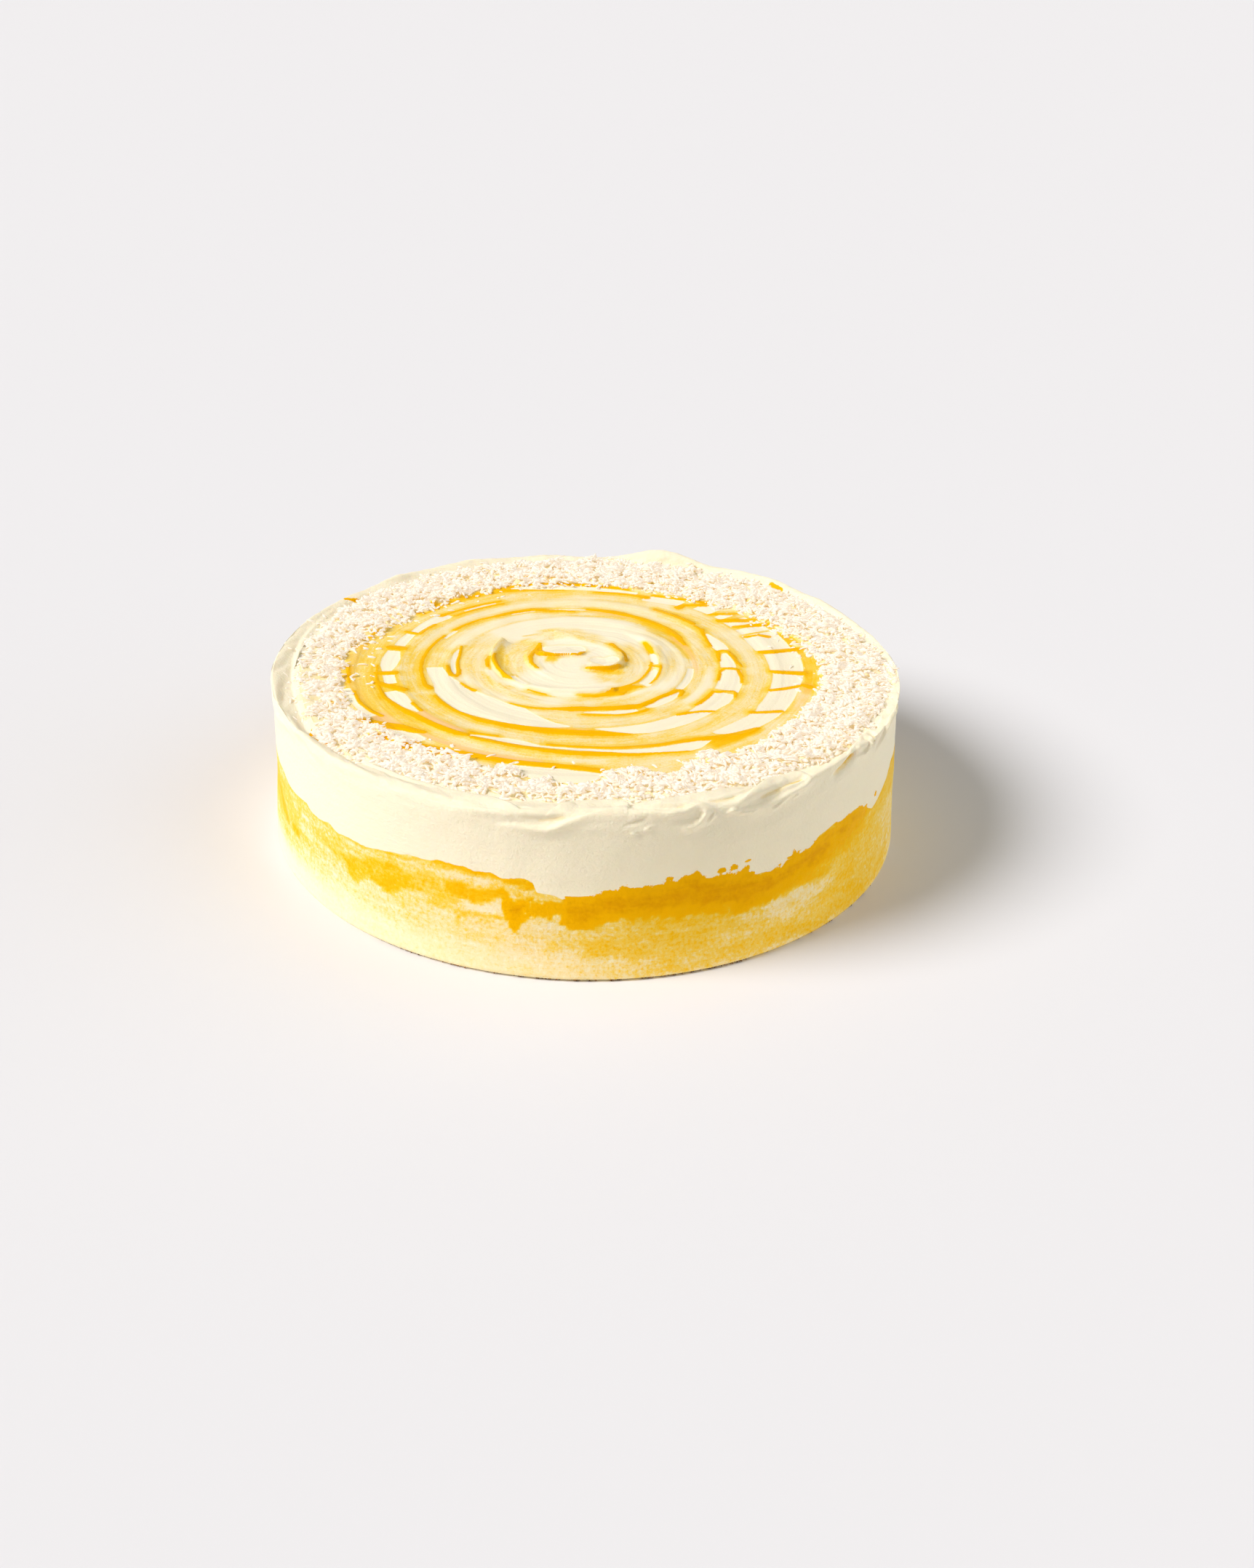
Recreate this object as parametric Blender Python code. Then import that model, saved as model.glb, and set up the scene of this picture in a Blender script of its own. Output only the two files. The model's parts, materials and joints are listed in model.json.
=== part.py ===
"""Round cream cake with a swirled top and a ring of coconut shreds, one solid.

Frame: origin at the centre of the underside, +Z up, the front of the cake towards -Y.
Bearings are in degrees, counted from +X towards +Y. Lengths are in metres.

The cake is a closed polar grid: a flat underside, a nearly straight wall, a rim that swells and
dips round the top, a lumpy ring of coconut, and a top that carries a spiral of low ridges which
end in a few taller curls. The largest coconut shreds are fused onto the ring.
"""

import math
import random

import bmesh
import bpy
import numpy as np
from mathutils import Vector
from mathutils.bvhtree import BVHTree

MM = 0.001

# Wall
BASE_RADIUS = 0.1322
SHOULDER_RADIUS = 0.1296
SHOULDER_HEIGHT = 0.0610
FOOT_ROUND = 0.0010
WALL_WAVE = 0.0002

# Rim: its crest is wider from left to right than from front to back
RIM_RADIUS = 0.1272
RIM_OVAL = 0.0025
RIM_HEIGHT = 0.0688
RIM_SQUARENESS = 0.72
# bearing and half width in degrees, rise above RIM_HEIGHT in millimetres
RIM_SWELLS = (
    (74, 7, 5.3),
    (48, 12, 1.2),
    (92, 16, -1.5),
    (99, 6, 1.3),
    (117, 7, 1.5),
    (134, 5, 1.5),
    (190, 24, 1.5),
    (263, 9, 0.5),
    (291, 13, 1.7),
    (323, 6, 1.3),
)

# Coconut ring: edges as a mean radius and the first two waves of its outline round the cake,
# each wave as its cosine and sine parts in millimetres
COCONUT_INNER = (93.5, (-3.5, -1.1), (3.6, 0.6))
COCONUT_OUTER = (120.5, (2.4, 2.8), (3.2, 0.0))
COCONUT_DEPTH = 0.0020
COCONUT_LUMP = 0.0006

# Top
TOP_HEIGHT = 0.0665
SWIRL_CENTRE = (-0.0045, 0.0025)
SWIRL_PITCH = 0.0200
SWIRL_START = 0.0045
SWIRL_RIDGE = 0.0008
SWIRL_RIDGE_WIDTH = 0.0032
MOUND_RADIUS = 0.0250
MOUND_HEIGHT = 0.0022
# bearings from and to, radii from and to, height and half width, in degrees and millimetres
CURLS = (
    (136, 236, 41.0, 31.0, 3.0, 2.6),
    (298, 402, 31.0, 36.0, 1.8, 2.4),
    (60, 172, 9.0, 15.0, 2.6, 3.6),
    (292, 378, 9.0, 17.0, 2.8, 3.6),
    (20, 118, 20.0, 26.0, 1.4, 3.0),
)

# Fused shreds
SHRED_COUNT = 132
SHRED_LENGTH = (0.0052, 0.0078)
SHRED_WIDTH = 0.0017
SHRED_LIFT = 0.0001
SHRED_MARGIN = 0.0030
SHRED_SEED = 20
GOLDEN_ANGLE = math.radians(137.508)

# Grid
SEGMENTS = 120
WALL_ROWS = (9.0, 18.0, 27.0, 36.0, 45.0, 53.0)
RIM_OUTER_ANGLES = (0, 28, 52, 72, 90)
RIM_INNER_STEPS = (0.45, 1.0)
COCONUT_STEPS = (0.1, 0.28, 0.46, 0.64, 0.82, 1.0)
TOP_RADII = (85.0, 79.0, 73.0, 67.0, 61.0, 55.0, 49.0, 44.5, 41.0, 38.0, 35.0, 32.0, 29.0)
CORE_RADII = (26.0, 23.0, 20.0, 17.0, 14.0, 11.0, 8.0, 4.5)
LUMP_SEED = 7


def bell(offset, width):
    """Smooth bump of height 1 that falls to 1/e at the given width."""
    return np.exp(-((offset / width) ** 2))


def smooth_step(value):
    """Ramp from 0 to 1 with flat ends, for values from 0 to 1."""
    value = np.clip(value, 0.0, 1.0)
    return value * value * (3.0 - 2.0 * value)


def turned(bearing, centre):
    """Difference from a centre bearing, wrapped to -180 to 180 degrees."""
    return (bearing - centre + 180.0) % 360.0 - 180.0


def outline_wave(wave, bearing):
    """Radius of an outline given as a mean and two waves round the cake."""
    mean, first, second = wave
    angle = np.radians(bearing)
    radius = mean + first[0] * np.cos(angle) + first[1] * np.sin(angle)
    radius = radius + second[0] * np.cos(2.0 * angle) + second[1] * np.sin(2.0 * angle)
    return radius * MM


def wall_radius(bearing, height):
    """Radius of the wall: it leans in by a few millimetres and is very slightly uneven."""
    share = np.clip(height / SHOULDER_HEIGHT, 0.0, 1.0)
    lean = BASE_RADIUS + (SHOULDER_RADIUS - BASE_RADIUS) * share
    angle = np.radians(bearing)
    wave = np.sin(3.0 * angle + 9.0 * share) + np.sin(7.0 * angle - 5.0 * share)
    return lean - WALL_WAVE * (2.0 + wave) * smooth_step(share * 4.0)


def rim_height(bearing):
    """Height of the rim's crest: a level ring with swells on it."""
    height = np.full_like(np.asarray(bearing, dtype=float), RIM_HEIGHT)
    for centre, width, rise in RIM_SWELLS:
        height = height + rise * MM * bell(turned(bearing, centre), width)
    return height


def rim_radius(bearing):
    """Radius of the rim's crest, which is slightly oval."""
    return RIM_RADIUS + RIM_OVAL * np.cos(2.0 * np.radians(bearing))


def swirl_relief(x, y):
    """Height of the spiral ridge that a spatula leaves between two turns of its groove."""
    across = x - SWIRL_CENTRE[0]
    along = y - SWIRL_CENTRE[1]
    radius = np.hypot(across, along)
    turn = np.arctan2(along, across) / (2.0 * math.pi)
    offset = (radius - SWIRL_START) / SWIRL_PITCH - turn
    from_ridge = (offset - np.round(offset)) * SWIRL_PITCH
    fade = smooth_step((radius - 0.030) / 0.015)
    return SWIRL_RIDGE * bell(from_ridge, SWIRL_RIDGE_WIDTH) * fade


def curl_relief(x, y):
    """Height of the mound in the middle and of the curls that stand round it."""
    across = x - SWIRL_CENTRE[0]
    along = y - SWIRL_CENTRE[1]
    radius = np.hypot(across, along)
    bearing = np.degrees(np.arctan2(along, across))
    height = MOUND_HEIGHT * bell(radius, MOUND_RADIUS)
    for start, end, first, last, rise, width in CURLS:
        middle = 0.5 * (start + end)
        share = turned(bearing, middle) / (end - start) + 0.5
        crest = (first + (last - first) * np.clip(share, 0.0, 1.0)) * MM
        inside = smooth_step(share * 5.0) * smooth_step((1.0 - share) * 5.0)
        height = height + rise * MM * inside * bell(radius - crest, width * MM)
    return height


def top_height(x, y):
    """Height of the cream on top, inside the rim and without the coconut."""
    return TOP_HEIGHT + swirl_relief(x, y) + curl_relief(x, y)


def ring(bearings, radii, heights):
    """One row of the grid as a list of points."""
    angles = np.radians(bearings)
    columns = (radii * np.cos(angles), radii * np.sin(angles), np.broadcast_to(heights, radii.shape))
    return [Vector(point) for point in np.stack(columns, axis=1).tolist()]


def top_ring(bearings, radii):
    """One row of the grid that lies on the top's relief."""
    angles = np.radians(bearings)
    return ring(bearings, radii, top_height(radii * np.cos(angles), radii * np.sin(angles)))


def side_rows(bearings):
    """Rows of the underside's edge, the wall and the outer half of the rim."""
    whole = np.ones_like(bearings)
    rows = [ring(bearings, (BASE_RADIUS - FOOT_ROUND) * whole, 0.0)]
    rows.append(ring(bearings, BASE_RADIUS * whole, 1.2 * MM))
    for height in WALL_ROWS:
        rows.append(ring(bearings, wall_radius(bearings, height * MM), height * MM))
    shoulder = wall_radius(bearings, SHOULDER_HEIGHT)
    crest = rim_height(bearings)
    edge = rim_radius(bearings)
    for step in RIM_OUTER_ANGLES:
        out = math.cos(math.radians(step)) ** RIM_SQUARENESS
        up = math.sin(math.radians(step)) ** RIM_SQUARENESS
        radii = edge + (shoulder - edge) * out
        rows.append(ring(bearings, radii, SHOULDER_HEIGHT + (crest - SHOULDER_HEIGHT) * up))
    return rows


def coconut_rows(bearings):
    """Rows of the rim's inner slope and of the coconut ring, which is lumpy."""
    lumps = np.random.RandomState(LUMP_SEED)
    edge = rim_radius(bearings)
    outer = np.minimum(outline_wave(COCONUT_OUTER, bearings), edge - 2.0 * MM)
    inner = outline_wave(COCONUT_INNER, bearings)
    crest = rim_height(bearings)
    bed = TOP_HEIGHT + COCONUT_DEPTH
    rows = []
    for step in RIM_INNER_STEPS:
        radii = edge + (outer - edge) * step
        rows.append(ring(bearings, radii, crest + (bed - crest) * smooth_step(step)))
    for step in COCONUT_STEPS[:-1]:
        radii = outer + (inner - outer) * step
        heap = COCONUT_DEPTH * smooth_step((1.0 - step) * 4.0)
        heights = TOP_HEIGHT + heap + lumps.uniform(-COCONUT_LUMP, COCONUT_LUMP, bearings.size)
        rows.append(ring(bearings, radii, heights))
    rows.append(top_ring(bearings, inner))
    return rows


def bridge(mesh, outer, inner):
    """Fill the strip between two rows; the inner row has the same count or half of it."""
    count = len(outer)
    ratio = count // len(inner)
    for index in range(0, count, ratio):
        near = index // ratio
        far = (near + 1) % len(inner)
        if ratio == 1:
            after = (index + 1) % count
            mesh.faces.new((outer[index], outer[after], inner[far], inner[near]))
        else:
            middle = outer[index + 1]
            after = outer[(index + 2) % count]
            mesh.faces.new((outer[index], middle, inner[near]))
            mesh.faces.new((middle, inner[far], inner[near]))
            mesh.faces.new((middle, after, inner[far]))


def cake_mesh():
    """The whole cake without its shreds, as a closed mesh of triangles."""
    full = np.arange(SEGMENTS) * 360.0 / SEGMENTS
    half = full[::2]
    core = full[::4]
    rows = side_rows(full) + coconut_rows(full)
    rows += [top_ring(half, np.full_like(half, radius * MM)) for radius in TOP_RADII]
    rows += [top_ring(core, np.full_like(core, radius * MM)) for radius in CORE_RADII]
    mesh = bmesh.new()
    levels = [[mesh.verts.new(point) for point in row] for row in rows]
    mesh.faces.new(list(reversed(levels[0])))
    for outer, inner in zip(levels, levels[1:]):
        bridge(mesh, outer, inner)
    middle = mesh.verts.new((0.0, 0.0, float(top_height(np.array(0.0), np.array(0.0)))))
    last = levels[-1]
    for index, vertex in enumerate(last):
        mesh.faces.new((vertex, last[(index + 1) % len(last)], middle))
    bmesh.ops.triangulate(mesh, faces=mesh.faces[:])
    bmesh.ops.recalc_face_normals(mesh, faces=mesh.faces[:])
    return mesh


def shred_points(length, bend):
    """Corners of one shred about its middle: three triangles along a bent line."""
    points = []
    for share, thickness in ((-0.5, 0.6), (0.0, 1.0), (0.5, 0.5)):
        rise = bend * (0.25 - share * share)
        for corner in range(3):
            angle = math.radians(90.0 + 120.0 * corner)
            across = 0.5 * SHRED_WIDTH * thickness * math.cos(angle)
            up = 0.5 * SHRED_WIDTH * thickness * math.sin(angle) + rise
            points.append(Vector((share * length, across, up)))
    return points


def shred_mesh(length, bend):
    """One coconut shred, a bent sliver that is thick in the middle, of 14 triangles."""
    mesh = bmesh.new()
    corners = [mesh.verts.new(point) for point in shred_points(length, bend)]
    mesh.faces.new((corners[0], corners[1], corners[2]))
    mesh.faces.new((corners[8], corners[7], corners[6]))
    for first in (0, 3):
        for side in range(3):
            after = (side + 1) % 3
            loop = (first + side, first + 3 + side, first + 3 + after, first + after)
            mesh.faces.new([corners[corner] for corner in loop])
    bmesh.ops.triangulate(mesh, faces=mesh.faces[:])
    bmesh.ops.recalc_face_normals(mesh, faces=mesh.faces[:])
    return mesh


def new_object(name, mesh, collection):
    """Turn a bmesh into an object in the given collection."""
    data = bpy.data.meshes.new(name)
    mesh.to_mesh(data)
    mesh.free()
    item = bpy.data.objects.new(name, data)
    collection.objects.link(item)
    return item


def shred_places(surface):
    """Places for the shreds, spread evenly over the ring, each on the surface below it."""
    draw = random.Random(SHRED_SEED)
    for index in range(SHRED_COUNT):
        angle = index * GOLDEN_ANGLE
        bearing = math.degrees(angle)
        inner = float(outline_wave(COCONUT_INNER, bearing)) + SHRED_MARGIN
        outer = min(float(outline_wave(COCONUT_OUTER, bearing)), float(rim_radius(bearing))) - SHRED_MARGIN
        share = (index + 0.5) / SHRED_COUNT
        radius = math.sqrt(inner * inner + (outer * outer - inner * inner) * share)
        above = Vector((radius * math.cos(angle), radius * math.sin(angle), 1.0))
        place = surface.ray_cast(above, Vector((0.0, 0.0, -1.0)))[0]
        yield draw, place


def scatter_shreds(cake, collection):
    """Lay the shreds on the coconut ring, each with its lower side in the heap."""
    surface = BVHTree.FromPolygons(
        [vertex.co[:] for vertex in cake.data.vertices],
        [polygon.vertices[:] for polygon in cake.data.polygons],
    )
    for index, (draw, place) in enumerate(shred_places(surface)):
        length = draw.uniform(*SHRED_LENGTH)
        shred = new_object(f"shred_{index}", shred_mesh(length, draw.uniform(0.1, 0.9) * MM), collection)
        shred.location = place + Vector((0.0, 0.0, SHRED_LIFT))
        shred.rotation_euler = (draw.uniform(-0.5, 0.5), draw.uniform(-0.3, 0.3), draw.uniform(0.0, math.tau))


def fuse(cake, collection):
    """Join the shreds to the cake with one union, then remove them and the collection."""
    union = cake.modifiers.new("fuse_shreds", "BOOLEAN")
    union.operation = "UNION"
    union.operand_type = "COLLECTION"
    union.collection = collection
    union.solver = "EXACT"
    bpy.context.view_layer.objects.active = cake
    bpy.ops.object.modifier_apply(modifier=union.name)
    for shred in list(collection.objects):
        bpy.data.objects.remove(shred, do_unlink=True)
    bpy.data.collections.remove(collection)


def finish(cake):
    """Triangulate the joined surface, shade it smooth and give it its cream."""
    mesh = bmesh.new()
    mesh.from_mesh(cake.data)
    bmesh.ops.triangulate(mesh, faces=mesh.faces[:])
    mesh.to_mesh(cake.data)
    mesh.free()
    cake.data.shade_smooth()
    cake.data.set_sharp_from_angle(angle=math.radians(40.0))
    cream = bpy.data.materials.new("cream")
    cream.use_nodes = True
    shader = cream.node_tree.nodes["Principled BSDF"]
    shader.inputs["Base Color"].default_value = (0.95, 0.90, 0.76, 1.0)
    shader.inputs["Roughness"].default_value = 0.45
    shader.inputs["Metallic"].default_value = 0.0
    cake.data.materials.clear()
    cake.data.materials.append(cream)


def main():
    """Build the cake."""
    for item in list(bpy.data.objects):
        bpy.data.objects.remove(item, do_unlink=True)
    cake = new_object("cake", cake_mesh(), bpy.context.scene.collection)
    shreds = bpy.data.collections.new("shreds")
    bpy.context.scene.collection.children.link(shreds)
    scatter_shreds(cake, shreds)
    fuse(cake, shreds)
    finish(cake)


main()
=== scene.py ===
"""Looks of a round mango cream cake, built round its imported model.

The cake is dressed in three layers. The cream has two pieces, the swirled top and the wall with its
rim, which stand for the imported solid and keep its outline. Mango puree shows on both as strips and
lines that are kept as depths on the meshes and coloured by their materials. Coconut is scattered
over a bed near the rim. Lengths are in millimetres until a mesh is made, and bearings in degrees
from +X towards +Y.
"""

import json
import logging
import math
from dataclasses import dataclass
from enum import Enum
from typing import Sequence

import bpy
import numpy as np
from mathutils import Matrix, Vector

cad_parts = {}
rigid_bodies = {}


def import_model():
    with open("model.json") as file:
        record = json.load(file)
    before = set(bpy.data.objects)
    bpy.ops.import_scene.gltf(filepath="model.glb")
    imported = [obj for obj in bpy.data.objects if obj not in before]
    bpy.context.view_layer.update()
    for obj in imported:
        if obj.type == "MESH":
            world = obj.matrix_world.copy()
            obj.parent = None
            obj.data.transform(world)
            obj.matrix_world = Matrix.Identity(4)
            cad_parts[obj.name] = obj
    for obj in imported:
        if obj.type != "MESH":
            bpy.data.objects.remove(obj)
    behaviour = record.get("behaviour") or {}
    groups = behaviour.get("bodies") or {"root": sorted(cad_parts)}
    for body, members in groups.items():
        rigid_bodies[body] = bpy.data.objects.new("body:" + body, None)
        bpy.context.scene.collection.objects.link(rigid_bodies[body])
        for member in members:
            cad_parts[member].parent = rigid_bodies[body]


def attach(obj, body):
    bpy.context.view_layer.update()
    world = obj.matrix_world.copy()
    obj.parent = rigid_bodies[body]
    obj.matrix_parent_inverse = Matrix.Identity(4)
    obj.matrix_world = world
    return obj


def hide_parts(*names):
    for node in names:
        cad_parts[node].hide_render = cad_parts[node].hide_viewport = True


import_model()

LOG = logging.getLogger("mango_cake")
MM = 0.001
NODE = "cake"
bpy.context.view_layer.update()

# In millimetres: the farthest that depths inside and outside marks are told, the highest that cream
# and coconut may rise, and the radius at which lengths round the rim are measured
REACH = 4.0
HIGHEST = 73.45
RIM_ARC = 129.0

# How much a value eases off at the places where it is known, and the least and greatest pitch of the
# waves in a ripple, in radians
EASED = 0.6
RIPPLE_PITCH = (1.5, 4.5)

# Widths from the middle of a bell to where it has all but ended, and a distance past any on the cake
BELL_REACH = 2.5
FAR = 1e9

# Sockets of a Random Value node, for numbers and for whole numbers: the lower limit, and the result
DRAW_NUMBER = (2, 1)
DRAW_WHOLE = (4, 2)

# Sockets of a Mix node that mixes colours
MIX_FIRST, MIX_SECOND, MIX_RESULT = 6, 7, 2

Station = tuple[float, float, float]
Colour = tuple[float, float, float]
Value = float | np.ndarray


# --------------------------------------------------------------------------------------------------
# Small functions
# --------------------------------------------------------------------------------------------------


def linear(colour: Colour) -> tuple[float, float, float, float]:
    """Turn a display colour into the linear colour that shaders take.

    Args:
        colour: Red, green and blue from 0 to 255.

    Returns:
        Red, green, blue and alpha from 0 to 1.
    """
    parts = [value / 255.0 for value in colour]
    parts = [part / 12.92 if part <= 0.04045 else ((part + 0.055) / 1.055) ** 2.4 for part in parts]
    return (parts[0], parts[1], parts[2], 1.0)


def bell(offset: np.ndarray, width: float) -> np.ndarray:
    """Smooth bump of height 1 that falls to 1/e at the given width."""
    return np.exp(-((offset / width) ** 2))


def blended(first: Value, second: Value, share: Value) -> Value:
    """Go from the first value to the second by a share."""
    return first + (second - first) * share


def smooth_step(value: np.ndarray) -> np.ndarray:
    """Ramp from 0 to 1 with flat ends, for values from 0 to 1."""
    value = np.clip(value, 0.0, 1.0)
    return value * value * (3.0 - 2.0 * value)


def turned(bearing: np.ndarray, centre: float) -> np.ndarray:
    """Difference from a centre bearing, wrapped to -180 to 180 degrees."""
    return (bearing - centre + 180.0) % 360.0 - 180.0


def round_the_cake(stations: Sequence[tuple[float, float]], bearing: np.ndarray) -> np.ndarray:
    """Read a value that is known at a few bearings, smoothly and without a break at 360 degrees.

    Args:
        stations: Bearing and value, in order of bearing.
        bearing: Bearings to read at.

    Returns:
        The value at each bearing.
    """
    table = np.array(stations, dtype=float)
    place = bearing % 360.0
    after = np.searchsorted(table[:, 0], place) % len(table)
    before = (after - 1) % len(table)
    gap = (table[after, 0] - table[before, 0]) % 360.0
    share = ((place - table[before, 0]) % 360.0) / np.where(gap == 0.0, 360.0, gap)
    share = smooth_step(share) * EASED + share * (1.0 - EASED)
    return blended(table[before, 1], table[after, 1], share)


def ripple(first: np.ndarray, second: np.ndarray, seed: int, waves: int = 14) -> np.ndarray:
    """Smooth repeatable noise from a sum of sine waves in many directions.

    Args:
        first: First coordinate, where 1 is about the size of a ripple.
        second: Second coordinate, alike.
        seed: Which noise.
        waves: How many waves are summed.

    Returns:
        Values of mostly -1 to 1.
    """
    draw = np.random.RandomState(seed)
    total = np.zeros(np.broadcast(first, second).shape)
    for _ in range(waves):
        angle, phase = draw.uniform(0.0, 2.0 * math.pi, 2)
        pitch = draw.uniform(*RIPPLE_PITCH)
        total += np.sin(pitch * (first * math.cos(angle) + second * math.sin(angle)) + phase)
    return total / math.sqrt(waves)


# --------------------------------------------------------------------------------------------------
# The view the cake is shown from
# --------------------------------------------------------------------------------------------------


@dataclass(frozen=True)
class Viewpoint:
    """Where the cake is seen from, and how the view is framed.

    The pitch and yaw are those of the line of sight, in radians, and the place is in millimetres.
    """

    x: float = 0.0
    y: float = -664.45
    z: float = 374.46
    pitch: float = 0.4994
    yaw: float = 0.0267
    roll: float = 0.0261
    focal_pixels: float = 2400.0
    frame_height: float = 2156.0
    sensor: float = 36.0

    def axes(self) -> tuple[Vector, Vector, Vector]:
        """Directions of the picture's right side, its top, and out of its back."""
        cosine = math.cos(self.pitch)
        sight = Vector((math.sin(self.yaw) * cosine, math.cos(self.yaw) * cosine, -math.sin(self.pitch)))
        level = Vector((math.cos(self.yaw), -math.sin(self.yaw), 0.0))
        upright = level.cross(sight)
        right = level * math.cos(self.roll) + upright * math.sin(self.roll)
        top = upright * math.cos(self.roll) - level * math.sin(self.roll)
        return right, top, -sight

    def slide(self, points: np.ndarray, level: float) -> tuple[np.ndarray, np.ndarray]:
        """Slide points along the line of sight to one level, where the pattern is laid out.

        Args:
            points: Points in millimetres, one a row.
            level: Height of the level in millimetres.

        Returns:
            The x and y of each point on that level.
        """
        share = (self.z - level) / (self.z - points[:, 2])
        return self.x + (points[:, 0] - self.x) * share, self.y + (points[:, 1] - self.y) * share

    def make_camera(self) -> bpy.types.Object:
        """Make the camera and set it as the scene's."""
        data = bpy.data.cameras.new("camera")
        data.sensor_width = self.sensor
        data.lens = self.focal_pixels / self.frame_height * self.sensor
        data.clip_start = 0.01
        data.clip_end = 50.0
        camera = bpy.data.objects.new("camera", data)
        right, top, back = self.axes()
        turn = Matrix((right, top, back)).transposed().to_4x4()
        camera.matrix_world = Matrix.Translation(Vector((self.x, self.y, self.z)) * MM) @ turn
        bpy.context.scene.collection.objects.link(camera)
        bpy.context.scene.camera = camera
        return camera


# --------------------------------------------------------------------------------------------------
# Outline of the cake, as in the solid
# --------------------------------------------------------------------------------------------------


@dataclass(frozen=True)
class Outline:
    """The cake's outline, in millimetres: a leaning wall, a swelling rim and a nearly flat top.

    The wall's waves are turns round the cake and twist up the wall. A swell of the rim is its
    bearing, width and rise, and the dent its bearing, width and outward shift. The coconut's inner
    edge is bearing and radius about the swirl, the outer edge about the cake, and it fades over
    three widths: in depth at the inner and the outer edge, and in cover at the outer edge.
    """

    base_radius: float = 132.2
    shoulder_radius: float = 129.6
    shoulder_height: float = 61.0
    foot_round: float = 2.6
    wall_wave: float = 0.2
    wall_waves: tuple[tuple[float, float], ...] = ((3, 9), (7, -5))
    wall_wave_foot: float = 0.25
    rim_radius: float = 127.2
    rim_oval: float = 2.5
    rim_dent: Station = (23, 13, -2.0)
    rim_height: float = 68.8
    rim_squareness: float = 0.72
    swells: tuple[Station, ...] = (
        (74, 7, 5.1), (48, 12, 1.2), (92, 16, -1.5), (99, 6, 1.3), (117, 7, 1.5), (134, 5, 1.5),
        (190, 24, 0.4), (263, 9, 0.5), (291, 13, 1.7), (323, 6, 1.3),
    )
    top_height: float = 66.5
    swirl_x: float = -4.5
    swirl_y: float = 2.5
    swirl_pitch: float = 20.0
    swirl_start: float = 4.5
    ridge: float = 0.55
    ridge_width: float = 3.2
    mound_radius: float = 25.0
    mound_height: float = 2.2
    coconut_inner: tuple[tuple[float, float], ...] = (
        (0, 103), (12, 100.5), (30, 94), (60, 88), (90, 88.5), (120, 89), (150, 88.5), (180, 97),
        (210, 98.5), (244, 94), (251, 98.5), (254, 94.5), (259, 99.5), (263, 104), (274, 104), (278, 94),
        (284, 95), (289, 100.5), (294, 100), (297, 94.5), (303, 93.5), (307, 97.5), (330, 98.5), (345, 101),
    )
    coconut_outer: tuple[tuple[float, float], ...] = (
        (0, 130), (8, 127), (16, 124.5), (45, 123), (90, 120.5), (120, 122.5), (150, 123.8), (165, 121.8),
        (180, 120.5), (195, 120.5), (206, 121.8), (215, 123.5), (240, 117), (270, 115), (300, 116.5),
        (330, 123), (350, 126),
    )
    coconut_depth: float = 2.1
    coconut_ragged: float = 2.2
    coconut_lump: float = 1.15
    coconut_clump: float = 4.2
    coconut_ground: float = 0.6
    coconut_fades: Station = (5.0, 4.0, 2.6)
    coconut_edge_turn: float = 2.6
    coconut_edge_reach: float = 6.0
    coconut_outer_ragged: float = 0.6
    thin_patch: float = 4.6
    thin_from: float = 0.7
    thinned: float = 0.8
    calm_radius: float = 30.0
    calm_fade: float = 15.0
    rim_slope: float = 6.0

    def wall(self, bearing: np.ndarray, height: np.ndarray) -> np.ndarray:
        """Radius of the wall at a bearing and height."""
        share = np.clip(height / self.shoulder_height, 0.0, 1.0)
        lean = blended(self.base_radius, self.shoulder_radius, share)
        angle = np.radians(bearing)
        wave = sum(np.sin(turns * angle + twist * share) for turns, twist in self.wall_waves)
        grown = smooth_step(share / self.wall_wave_foot)
        return lean - self.wall_wave * (len(self.wall_waves) + wave) * grown

    def crest(self, bearing: np.ndarray) -> tuple[np.ndarray, np.ndarray]:
        """Radius and height of the rim's crest at a bearing."""
        height = np.full_like(bearing, self.rim_height)
        for centre, width, rise in self.swells:
            height = height + rise * bell(turned(bearing, centre), width)
        centre, width, out = self.rim_dent
        radius = self.rim_radius + self.rim_oval * np.cos(2.0 * np.radians(bearing))
        return radius + out * bell(turned(bearing, centre), width), height

    def coconut(self, x: np.ndarray, y: np.ndarray) -> tuple[np.ndarray, np.ndarray]:
        """How thickly and how closely the coconut lies.

        Args:
            x: First coordinate of the points.
            y: Second coordinate.

        Returns:
            Its depth in millimetres, and its cover from 0 to 1.
        """
        around, radius = self.swirl_polar(x, y)
        bearing = np.degrees(np.arctan2(y, x)) % 360.0
        reach = radius / self.coconut_edge_reach
        ragged = self.coconut_ragged * ripple(around / self.coconut_edge_turn, reach, 41)
        inside = radius - round_the_cake(self.coconut_inner, around) + ragged
        ragged = self.coconut_outer_ragged * self.coconut_ragged
        ragged = ragged * ripple(bearing / self.coconut_edge_turn, reach, 45)
        outside = round_the_cake(self.coconut_outer, bearing) - np.hypot(x, y) + ragged
        lumps = self.coconut_lump * ripple(x / self.coconut_clump, y / self.coconut_clump, 43)
        inner, outer, strewn = self.coconut_fades
        depth = smooth_step(inside / inner + 0.1) * smooth_step(outside / outer + 0.1)
        cover = smooth_step(inside / inner + 0.4) * smooth_step(outside / strewn + 0.45)
        for gap in COCONUT_GAPS:
            cover = cover * (1.0 - gap.level * gap.weight(bearing, np.hypot(x, y), self.rim_radius))
        return depth * (self.coconut_depth + lumps), cover * (1.0 - self.thinned * self.thinness(x, y))

    def thinness(self, x: np.ndarray, y: np.ndarray) -> np.ndarray:
        """How much the coconut thins out in patches, from 0 to 1."""
        return np.clip(ripple(x / self.thin_patch, y / self.thin_patch, 44) - self.thin_from, 0.0, 1.0)

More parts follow.
